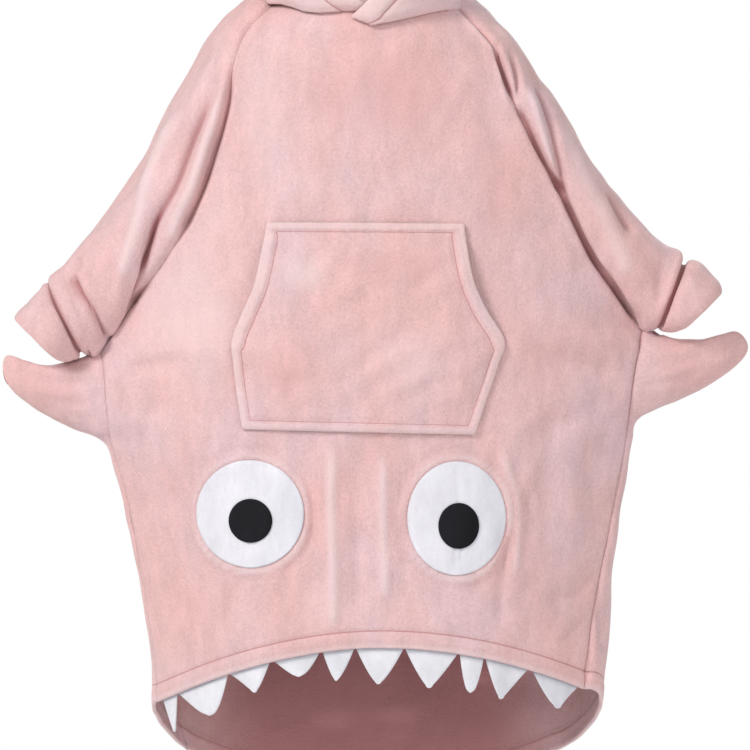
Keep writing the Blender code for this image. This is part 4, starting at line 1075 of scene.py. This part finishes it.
def seam_rims(surface, number, quads, place, count):
    """Faces that close a shell along its sewn edges."""
    rims = []
    pairs = [zip(quads[:, i].tolist(), quads[:, (i + 1) % 4].tolist()) for i in range(4)]
    directed = dict.fromkeys((start, end) for run in pairs for start, end in run if start != end)
    free = {(a, b) for a, b in surface.free_edges[surface.free_piece == number][:, :2].tolist()}
    for start, end in directed:
        if (end, start) not in directed and (start, end) not in free:
            a, b = int(place[start]), int(place[end])
            rims.append((b, a, count + a, count + b))
    return rims


def add_object(name, data):
    item = bpy.data.objects.new(name, data)
    bpy.context.scene.collection.objects.link(item)
    return item


def place_piece(name, mesh, material):
    item = add_object(name, mesh)
    mesh.materials.append(material)
    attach(item, "root")
    return item


# The kangaroo pocket.
POCKET_ROWS = 110
POCKET_COLUMNS = 120
POCKET_BULGE = 0.015
POCKET_GAPE = 0.011
HAND_OPENING = (0.07, 0.55)
POCKET_BAND = 0.0125
POCKET_BINDING = 0.019
POCKET_STAND = 1.4 * RESTING_GAP
POCKET_PUFF = (0.0024, 0.5, 0.40)
POCKET_STITCH = (0.0026, 1, 0.17)
POCKET_BAND_HIGHLIGHT = (0.65, 0.45, 0.35)
POCKET_SOFT_FROM = 0.006
EVEN_ROUNDS = {"seat": 14, "stand": 6, "inside": 3}


def front_tree(surface):
    """A search tree of the front panel's outer face."""
    quads = surface.quads[surface.pieces == surface.names.index("front_panel")]
    return BVHTree.FromPolygons(surface.points.tolist(), quads.tolist())


def on_front(tree, x, z):
    """The front panel's outer face at places seen from the front."""
    found = []
    for one_x, one_z in zip(x.reshape(-1), z.reshape(-1)):
        hit = tree.ray_cast(Vector((one_x, -1, one_z)), Vector((0, 1, 0)))[0]
        if hit is None:
            hit = tree.find_nearest(Vector((one_x, -0.15, one_z)))[0]
        found.append(tuple(hit))
    return np.array(found).reshape(x.shape + (3,))


def smooth_grid(values, rounds):
    """Values of a grid, evened out with their neighbours."""
    for _ in range(rounds):
        padded = np.pad(values, 1, mode="edge")
        values = (
            padded[:-2, 1:-1] + padded[2:, 1:-1] + padded[1:-1, :-2] + padded[1:-1, 2:] + 4 * values
        ) / 8
    return values


def pocket_bands(x, z):
    """Each point's distance from the pocket's edges, by the width of the band along each edge."""
    flat = np.stack([x, z, np.zeros(x.shape)], -1).reshape(-1, 3)
    where = np.linspace(0, 1, 160)
    values = between(POCKET, where * (len(POCKET) - 1))
    upper = (where >= HAND_OPENING[0]) & (where <= HAND_OPENING[1] + 0.03)
    lower = where >= HAND_OPENING[1] + 0.03
    spread = np.linspace(0, 1, 120)[:, None]
    top, bottom = values[0], values[-1]
    edges = [
        (top[:2] + (top[2:] - top[:2]) * spread, POCKET_BAND),
        (bottom[:2] + (bottom[2:] - bottom[:2]) * spread, POCKET_BAND),
        (values[upper, :2], POCKET_BINDING),
        (values[upper, 2:], POCKET_BINDING),
        (values[lower, :2], POCKET_BAND),
        (values[lower, 2:], POCKET_BAND),
    ]
    band = np.full(x.shape, 9.0)
    for line, width in edges:
        targets = np.concatenate([line, np.zeros((len(line), 1))], -1)
        band = np.minimum(band, distance_to(flat, targets).reshape(x.shape) / width)
    return band


def pocket_surface(tree):
    """The pocket's outer face as a grid, and how far its points lie from its edges, by bands."""
    down, across = np.meshgrid(
        np.linspace(0, 1, POCKET_ROWS + 1), np.linspace(-1, 1, POCKET_COLUMNS + 1), indexing="ij"
    )
    values = between(POCKET, down * (len(POCKET) - 1))
    share = (across + 1) / 2
    x = values[..., 0] + (values[..., 2] - values[..., 0]) * share
    z = values[..., 1] + (values[..., 3] - values[..., 1]) * share
    place = on_front(tree, x, z)
    place[..., 1] = smooth_grid(place[..., 1], EVEN_ROUNDS["seat"])
    belly = POCKET_BULGE * np.sin(np.pi * down) ** 0.7 * (1 - across**4)
    start, end = HAND_OPENING
    gape = np.sin(np.pi * np.clip((down - start) / (end - start), 0, 1)) ** 0.6 * POCKET_GAPE
    stand = smooth_grid(np.maximum(belly, gape), EVEN_ROUNDS["stand"])
    points = place.copy()
    points[..., 1] -= POCKET_STAND + CLOTH + stand
    inside = smooth_grid(np.where(np.abs(across) < 0.97, 1.0, 0.0), EVEN_ROUNDS["inside"])
    flat = points.reshape(-1, 3)
    soft = lumps(flat, LUMPS["pocket"]) - fold_depths(flat, np.full(len(flat), -1), POCKET_FOLDS)
    soft = soft.reshape(x.shape) * np.minimum(1, stand / POCKET_SOFT_FROM) * inside
    points[..., 1] -= np.maximum(-stand * 0.6, soft)
    band = pocket_bands(x, z)
    points[..., 1] -= swell(band, *POCKET_PUFF) - swell(band, *POCKET_STITCH)
    return points, band


# The felt eyes and teeth.
EYE_RINGS = 30
EYE_SPOKES = 120
PUPIL_RINGS = 14
PUPIL_SPOKES = 72
TOOTH_ROOT = 0.016
TOOTH_ROWS = 44
TOOTH_COLUMNS = 26
TOOTH_GAP = 0.0006
TOOTH_HALF = 0.0022
TOOTH_SHADE = (0.75, 0, 0.0065)
TOOTH_TIP = 0.9
TOOTH_NARROWEST = 0.14
TOOTH_CURL = 0.004
TOOTH_RIPPLE = (0.0012, 130)
PUPIL_STAND = RESTING_GAP + 0.0048
LOWER_CREASE = (0.0014, 0.004, 0.0028)
UPPER_CREASE = (0.0006, 0, 0.003)


def disc_layers(tree, centre, sizes, rings, spokes, base, profile):
    """Outer and inner grids of a disc that lies along the front; each ring is a row."""
    share = np.linspace(0.02, 1, rings + 1)[:, None]
    turn = np.linspace(0, 2 * np.pi, spokes, endpoint=False)[None]
    x = centre[0] + share * sizes[0] * np.cos(turn)
    z = centre[1] + share * sizes[1] * np.sin(turn)
    place = on_front(tree, x, z)
    share = np.broadcast_to(share, x.shape)
    inner, outer = place.copy(), place.copy()
    inner[..., 1] -= base
    outer[..., 1] -= base + profile(share, x, z)
    return outer, inner


def disc_object(name, outer, inner, material):
    """A closed disc from its outer and inner grids of rings."""
    rings, spokes = outer.shape[:2]
    every = np.concatenate([outer.reshape(-1, 3), inner.reshape(-1, 3)])
    centre = [outer[0].mean(0), inner[0].mean(0)]
    count = rings * spokes
    faces = []
    for ring in range(rings - 1):
        for spoke in range(spokes):
            following = (spoke + 1) % spokes
            a, b = ring * spokes + spoke, (ring + 1) * spokes + spoke
            c, d = (ring + 1) * spokes + following, ring * spokes + following
            faces += [(a, b, c, d), (count + d, count + c, count + b, count + a)]
    last = (rings - 1) * spokes
    for spoke in range(spokes):
        following = (spoke + 1) % spokes
        faces.append((2 * count, spoke, following))
        faces.append((2 * count + 1, count + following, count + spoke))
        a, b = last + spoke, last + following
        faces.append((a, count + a, count + b, b))
    return place_piece(name, new_mesh(name, np.concatenate([every, centre]), faces), material)


def rounded(share):
    """A flat top that turns down at its rim."""
    return np.sqrt(np.clip(1 - share**8, 0, 1))


def eye_white(tree, name, eye, material):
    """An eye's padded white, with creases that run up and down from its middle."""

    def plush(share, x, z):
        off = x - eye[0] - 0.002
        lower = swell(off, *LOWER_CREASE) + swell(-off, *LOWER_CREASE)
        crease = lower * (z < eye[1]) + swell(off, *UPPER_CREASE) * (z > eye[1])
        return 0.0010 + 0.0030 * rounded(share) - crease * ramp(1 - share, 0.02, 0.3)

    layers = disc_layers(tree, eye[0:2], eye[2:4], EYE_RINGS, EYE_SPOKES, RESTING_GAP, plush)
    return disc_object(f"eye_white_{name}", *layers, material)


def pupil(tree, name, eye, material):
    """A flat felt pupil on its eye's white."""

    def felt(share, x, z):
        return 0.0008 + 0.0018 * rounded(share)

    layers = disc_layers(tree, eye[4:6], eye[6:8], PUPIL_RINGS, PUPIL_SPOKES, PUPIL_STAND, felt)
    return disc_object(f"pupil_{name}", *layers, material)


def add_tooth(number, hem, row, material):
    """A felt tooth behind the hem: full width at the hem, then narrowing to a rounded tip."""
    left_x, right_x, tip_x, tip_z, bend = row
    shown = 1 - (1 - np.linspace(0, 1, TOOTH_ROWS + 1)[1:]) ** 1.4
    rows = np.concatenate([np.linspace(-1, 0, 9), shown])
    down, share = np.meshgrid(rows, np.linspace(0, 1, TOOTH_COLUMNS + 1), indexing="ij")
    below = np.maximum(down, 0)
    tip = np.sqrt(1 - np.clip((below - TOOTH_TIP) / 0.1, 0, 1) ** 2)
    narrow = np.maximum((1 - below) ** bend, TOOTH_NARROWEST) * tip
    x = tip_x + (left_x + (right_x - left_x) * share - tip_x) * np.maximum(narrow, 0.01)
    hem_x, hem_y, hem_z = hem.T
    behind = HEM_THICK + TOOTH_GAP + TOOTH_HALF
    aside = np.zeros(x.shape)
    for _ in range(3):
        place = x + aside
        slope = np.interp(place + 0.01, hem_x, hem_y) - np.interp(place - 0.01, hem_x, hem_y)
        out = normalised(np.stack([slope, np.full(x.shape, -0.02), np.zeros(x.shape)], -1))
        aside = out[..., 0] * behind
    edge_z = np.interp(x + aside, hem_x, hem_z)
    z = np.where(down < 0, edge_z - down * TOOTH_ROOT, edge_z + (tip_z - edge_z) * below)
    middle = np.stack([x + aside, np.interp(x + aside, hem_x, hem_y), z], -1) - out * behind
    height, waves = TOOTH_RIPPLE
    middle[..., 1] += TOOTH_CURL * below**2 * math.sin(number * 2.3)
    middle[..., 1] += height * np.sin(z * waves + number) * below
    near_edge = np.minimum(share, 1 - share) * 2
    rim = np.sqrt(np.clip(1 - (1 - np.minimum(near_edge * 3.5, 1)) ** 2, 0, 1))
    rim *= np.sqrt(np.clip(1 - np.clip((below - 0.93) / 0.07, 0, 1) ** 2, 0, 1))
    half = (0.0006 + 0.0014 * rim)[..., None]
    # Painted shade at the tooth's root, under the hem.
    shade = swell(np.maximum(edge_z - z, 0), *TOOTH_SHADE)
    layers = middle + out * half, middle - out * half
    return grid_object(f"tooth_{number:02d}", *layers, material, {"hollow": shade}, {})


def grid_object(name, outer, inner, material, marks, inside):
    """A closed sheet from its outer and inner grids, its rim rounded through a middle line."""
    rows, columns = outer.shape[:2]
    count = rows * columns
    index = np.arange(count).reshape(rows, columns)
    corners = index[:-1, :-1], index[1:, :-1], index[1:, 1:], index[:-1, 1:]
    quads = np.stack(corners, -1).reshape(-1, 4)
    ring = np.concatenate([index[0, :-1], index[:-1, -1], index[-1, :0:-1], index[:0:-1, 0]])
    inward = np.concatenate([index[1, :-1], index[:-1, -2], index[-2, :0:-1], index[:0:-1, 1]])
    flat_outer, flat_inner = outer.reshape(-1, 3), inner.reshape(-1, 3)
    middle = (flat_outer[ring] + flat_inner[ring]) / 2
    thick = np.linalg.norm(flat_outer[ring] - flat_inner[ring], axis=1, keepdims=True)
    middle += normalised(flat_outer[ring] - flat_outer[inward]) * thick * 0.45
    every = np.concatenate([flat_outer, flat_inner, middle])
    faces = quads.tolist() + (quads[:, ::-1] + count).tolist()
    total = len(ring)
    for i in range(total):
        a, b = int(ring[i]), int(ring[(i + 1) % total])
        ma, mb = 2 * count + i, 2 * count + (i + 1) % total
        faces.append((a, b, mb, ma))
        faces.append((ma, mb, count + b, count + a))
    mesh = new_mesh(name, every, faces)
    shape = bmesh.new()
    shape.from_mesh(mesh)
    bmesh.ops.recalc_face_normals(shape, faces=shape.faces[:])
    shape.to_mesh(mesh)
    shape.free()
    for mark, values in marks.items():
        flat = values.reshape(-1)
        hidden = np.full(count, inside[mark]) if mark in inside else flat
        write_mark(mesh, mark, np.concatenate([flat, hidden, flat[ring]]))
    return place_piece(name, mesh, material)


# Materials.
def node(tree, kind, **values):
    made = tree.nodes.new(kind)
    for name, value in values.items():
        setattr(made, name, value)
    return made


def noise(tree, place, scale, detail, rough=0.5):
    made = node(tree, "ShaderNodeTexNoise")
    made.inputs["Scale"].default_value = scale
    made.inputs["Detail"].default_value = detail
    made.inputs["Roughness"].default_value = rough
    tree.links.new(place, made.inputs["Vector"])
    return made.outputs["Fac"]


def shades(tree, fac, stops):
    """A colour ramp. Columns of stops: position, red, green, blue."""
    made = node(tree, "ShaderNodeValToRGB")
    ramp_stops = made.color_ramp.elements
    while len(ramp_stops) < len(stops):
        ramp_stops.new(0.5)
    for stop, (position, *colour) in zip(ramp_stops, stops):
        stop.position = position
        stop.color = (*colour, 1)
    tree.links.new(fac, made.inputs["Fac"])
    return made.outputs["Color"]


def mix(tree, fac, first, second, blend="MIX"):
    made = node(tree, "ShaderNodeMix", data_type="RGBA", blend_type=blend)
    for socket, value in ((0, fac), (6, first), (7, second)):
        if hasattr(value, "links"):
            tree.links.new(value, made.inputs[socket])
        else:
            made.inputs[socket].default_value = value
    return made.outputs[2]


def bump(tree, height, strength, distance, normal=None):
    made = node(tree, "ShaderNodeBump")
    made.inputs["Strength"].default_value = strength
    made.inputs["Distance"].default_value = distance
    tree.links.new(height, made.inputs["Height"])
    if normal is not None:
        tree.links.new(normal, made.inputs["Normal"])
    return made.outputs["Normal"]


def mark(tree, name, start, end, low, high):
    """A mark stored on the mesh, eased from one value to another between two of its sizes."""
    stored = node(tree, "ShaderNodeAttribute", attribute_name=name)
    eased = node(tree, "ShaderNodeMapRange", interpolation_type="SMOOTHSTEP")
    limits = {"From Min": start, "From Max": end, "To Min": low, "To Max": high}
    for socket, value in limits.items():
        eased.inputs[socket].default_value = value
    tree.links.new(stored.outputs["Fac"], eased.inputs["Value"])
    return eased.outputs["Result"]


def stretched(tree, place, scale):
    made = node(tree, "ShaderNodeMapping")
    made.inputs["Scale"].default_value = scale
    tree.links.new(place, made.inputs["Vector"])
    return made.outputs["Vector"]


def grey(value):
    return (value, value, value)


# Colour stops of the broad strokes and the fine grain of a nap.
STROKES = [(0.32, *grey(0.915)), (0.5, *grey(0.985)), (0.70, *grey(1.06))]
GRAIN = [(0.32, *grey(0.905)), (0.5, *grey(0.985)), (0.66, *grey(1.05))]


def cloth_material(name, nap, sheen, rough, pile, hollow=None, lines=None, nap_and_light_colours=None):
    """A napped cloth: patches where the nap lies another way, a clumped pile and sheen, with
    painted light, shade and highlight from the mesh's marks where asked.
    """
    made = bpy.data.materials.new(name)
    made.use_nodes = True
    tree = made.node_tree
    shader = tree.nodes["Principled BSDF"]
    place = node(tree, "ShaderNodeTexCoord").outputs["Object"]
    brushed = noise(tree, stretched(tree, place, (1.0, 1.0, 0.6)), 8.5, 3, 0.55)
    colour = shades(tree, brushed, [(0.36, *nap[0]), (0.50, *nap[1]), (0.64, *nap[2])])
    patches = noise(tree, stretched(tree, place, (1.0, 1.0, 0.38)), 44, 4, 0.6)
    strokes = shades(tree, patches, STROKES)
    colour = mix(tree, 1.0, colour, strokes, "MULTIPLY")
    clumps = noise(tree, place, 260, 3, 0.62)
    grain = shades(tree, clumps, GRAIN)
    colour = mix(tree, pile, colour, grain, "MULTIPLY")
    hairs = noise(tree, place, 900, 2, 0.6)
    # Nap patches that are partly painted light and shade, and painted highlight on ridges, rims and
    # pocket bands.
    if nap_and_light_colours is not None:
        pale, deep = nap_and_light_colours
        colour = mix(tree, mark(tree, "nap", 0.0, 1.0, 0.0, 0.60), colour, (*pale, 1))
        colour = mix(tree, mark(tree, "nap", -1.0, 0.0, 0.60, 0.0), colour, (*deep, 1))
        colour = mix(tree, mark(tree, "ridge", 0.0, 1.0, 0.0, 0.62), colour, (*pale, 1))
    if lines is not None:
        edge, line = lines
        colour = mix(tree, mark(tree, "band", 0.0, 0.42, 0.45, 0.0), colour, (*edge, 1))
        colour = mix(tree, mark(tree, "seam", *SEAM_LINE, 0.75, 0.0), colour, (*line, 1))
        inner = mark(tree, "band", 0.93, 0.99, 0.0, 0.85)
        outer = mark(tree, "band", 1.01, 1.07, 1.0, 0.0)
        stitch = node(tree, "ShaderNodeMath", operation="MULTIPLY")
        tree.links.new(inner, stitch.inputs[0])
        tree.links.new(outer, stitch.inputs[1])
        colour = mix(tree, stitch.outputs[0], colour, (*line, 1))
    # Painted shade where the mesh's mark asks for it: in folds, at cuff seams, on inner faces and
    # at tooth roots.
    if hollow is not None:
        colour = mix(tree, mark(tree, "hollow", 0.0, 1.0, 0.0, 1.0), colour, (*hollow, 1))
    tree.links.new(colour, shader.inputs["Base Color"])
    shader.inputs["Roughness"].default_value = rough
    shader.inputs["Sheen Weight"].default_value = sheen
    shader.inputs["Sheen Roughness"].default_value = 0.45
    shader.inputs["Sheen Tint"].default_value = (1.0, 0.92, 0.92, 1) if lines else (1, 1, 1, 1)
    shader.inputs["Specular IOR Level"].default_value = 0.12
    soft = bump(tree, patches, 0.35 * pile, 0.0040)
    soft = bump(tree, clumps, 0.60 * pile, 0.0022, soft)
    soft = bump(tree, hairs, 0.5 * pile, 0.0009, soft)
    tree.links.new(soft, shader.inputs["Normal"])
    return made


FLEECE_NAP = ((0.790, 0.495, 0.480), (0.775, 0.505, 0.505), (0.755, 0.525, 0.545))
# Pale and deep colours of the nap patches, partly painted light and shade; the pale one is also the
# painted highlight.
FLEECE_NAP_AND_LIGHT = ((0.84, 0.66, 0.67), (0.72, 0.405, 0.390))
FLEECE_EDGE = (0.86, 0.70, 0.70)
FLEECE_LINE = (0.50, 0.24, 0.24)
# Colour of the painted shade in folds and on the cloth's inner face.
FLEECE_PAINTED_SHADE = (0.42, 0.18, 0.185)
FLEECE_LINES = (FLEECE_EDGE, FLEECE_LINE)
fleece = cloth_material(
    "fleece", FLEECE_NAP, 0.45, 0.95, 1.0, FLEECE_PAINTED_SHADE, FLEECE_LINES, FLEECE_NAP_AND_LIGHT
)
PLUSH_NAP = ((0.74, 0.73, 0.79), (0.77, 0.76, 0.81), (0.79, 0.78, 0.83))
white_plush = cloth_material("white_plush", PLUSH_NAP, 0.10, 0.95, 0.30)
FELT_NAP = ((0.74, 0.74, 0.79), (0.77, 0.77, 0.81), (0.79, 0.79, 0.83))
# The white felt's grey is the painted shade at the teeth's roots.
white_felt = cloth_material("white_felt", FELT_NAP, 0.10, 0.95, 0.35, (0.40, 0.41, 0.48))
BLACK_NAP = ((0.011, 0.011, 0.014), (0.013, 0.013, 0.016), (0.016, 0.016, 0.020))
black_felt = cloth_material("black_felt", BLACK_NAP, 0.04, 0.9, 0.5)


# Build every piece.
garment = Surface(garment_patches())
garment_marks = shape_garment(garment)
hem_extra = CLOTH * (1 - ramp(garment_marks["band"], *HEM_FOLD))
front_like = garment.owned("front_panel")
hem_extra = np.where(front_like, np.minimum(hem_extra, HEM_THICK - CLOTH), hem_extra)
# The cloth thins out to the wings' sharp edges, so that its inner face stays inside.
wing_rows = np.linspace(1, 8, 140)
wing_edges = [side_points(side, wing_rows, np.full(140, 0.5)) for side in (SIDE_LEFT, SIDE_RIGHT)]
to_wing_edge = distance_to(garment.points, np.concatenate(wing_edges))
wing_share = WING_THIN + (1 - WING_THIN) * ramp(to_wing_edge, *WING_EDGE)
garment_thick = CLOTH * wing_share + hem_extra
hood = Surface(hood_patches())
hood_marks, to_edge = shape_hood(hood)
hood_thick = CLOTH + HOOD_HEM * (1 - ramp(to_edge, *HOOD_HEM_REACH))
made = {}
for surface, thick, marks in (
    (garment, garment_thick, garment_marks),
    (hood, hood_thick, hood_marks),
):
    for name in surface.names:
        made[name] = cloth_object(name, surface, thick, marks, fleece)
tree = front_tree(garment)
pocket_outer, pocket_band = pocket_surface(tree)
pocket_inner = pocket_outer.copy()
pocket_inner[..., 1] += CLOTH
flat_pocket = pocket_outer.reshape(-1, 3)
pocket_marks = {
    "band": pocket_band,
    "seam": np.ones(pocket_band.shape),
    "hollow": np.zeros(pocket_band.shape),
    # Painted highlight along the pocket's puffed bands.
    "ridge": swell(pocket_band, *POCKET_BAND_HIGHLIGHT),
    "nap": nap_and_painted_light(flat_pocket, np.full(len(flat_pocket), -1)).reshape(pocket_band.shape),
}
made["pocket"] = grid_object("pocket", pocket_outer, pocket_inner, fleece, pocket_marks, INSIDE)
for name, eye in EYES.items():
    made[f"eye_white_{name}"] = eye_white(tree, name, eye, white_plush)
    made[f"pupil_{name}"] = pupil(tree, name, eye, black_felt)
front_free = garment.free_edges[garment.free_piece == garment.names.index("front_panel")]
hem_line = garment.points[np.unique(front_free[:, :2])]
hem_line = hem_line[(hem_line[:, 2] < HEM_BELOW) & (hem_line[:, 1] < 0.0)]
hem_line = hem_line[np.argsort(hem_line[:, 0])]
for number, row in enumerate(TEETH, start=1):
    made[f"tooth_{number:02d}"] = add_tooth(number, hem_line, row, white_felt)

for name, item in made.items():
    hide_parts(name.split(".")[0])

# Stage, lights and camera.
FLOOR_Z = -1.42
FLOOR_REACH = 2.6
ROOM_LIGHT = 0.49
CAMERA_PLACE = (0.0225, -6.0, -0.5625)
CAMERA_LENS = 192.0

# Lights. Columns: name, place, what it points at, side, power, colour.
LIGHTS = [
    ("key", (-3.0, -3.1, 2.4), (0, 0, -0.5), 1.3, 146, (1.0, 0.985, 0.975)),
    ("fill", (3.4, -3.8, 0.4), (0, 0, -0.5), 2.6, 40, (0.97, 0.98, 1.0)),
    ("back", (1.6, 5.2, 2.2), (0, 0, -0.4), 3.0, 110, (1.0, 1.0, 1.0)),
    ("front", (-0.4, -6.0, 1.4), (0, 0, -0.6), 2.0, 32, (1.0, 1.0, 1.0)),
]


def studio_floor():
    """A round pale floor under the garment."""
    mesh = bpy.data.meshes.new("floor")
    turns = np.linspace(0, 2 * math.pi, 96, endpoint=False)
    rim = [(FLOOR_REACH * math.cos(a), FLOOR_REACH * math.sin(a), FLOOR_Z) for a in turns]
    mesh.from_pydata(rim, [], [tuple(range(len(rim)))])
    item = add_object("floor", mesh)
    paper = bpy.data.materials.new("paper")
    paper.use_nodes = True
    shader = paper.node_tree.nodes["Principled BSDF"]
    shader.inputs["Base Color"].default_value = (0.93, 0.93, 0.935, 1)
    shader.inputs["Roughness"].default_value = 0.95
    mesh.materials.append(paper)


def studio_world():
    """A white room as the camera sees it, and a dimmer one as it lights the garment."""
    world = bpy.data.worlds.new("room")
    bpy.context.scene.world = world
    world.use_nodes = True
    tree = world.node_tree
    seen = tree.nodes["Background"]
    lit = tree.nodes.new("ShaderNodeBackground")
    rays = tree.nodes.new("ShaderNodeLightPath")
    choose = tree.nodes.new("ShaderNodeMixShader")
    for background, strength in ((seen, 1.0), (lit, ROOM_LIGHT)):
        background.inputs["Color"].default_value = (1.0, 1.0, 1.0, 1)
        background.inputs["Strength"].default_value = strength
    tree.links.new(rays.outputs["Is Camera Ray"], choose.inputs[0])
    tree.links.new(lit.outputs[0], choose.inputs[1])
    tree.links.new(seen.outputs[0], choose.inputs[2])
    tree.links.new(choose.outputs[0], tree.nodes["World Output"].inputs["Surface"])


def area_light(name, place, toward, side, power, colour):
    data = bpy.data.lights.new(name, "AREA")
    data.shape = "RECTANGLE"
    data.size, data.size_y = side, side
    data.energy = power
    data.color = colour
    item = add_object(name, data)
    item.location = place
    item.rotation_euler = (Vector(toward) - Vector(place)).to_track_quat("-Z", "Y").to_euler()


studio_floor()
studio_world()
for light in LIGHTS:
    area_light(*light)
bpy.context.scene.view_settings.view_transform = "Standard"

lens = bpy.data.cameras.new("camera")
lens.lens = CAMERA_LENS
lens.sensor_width = 36.0
lens.clip_end = 60.0
camera = add_object("camera", lens)
camera.location = CAMERA_PLACE
camera.rotation_euler = (math.pi / 2, 0, 0)
bpy.context.scene.camera = camera
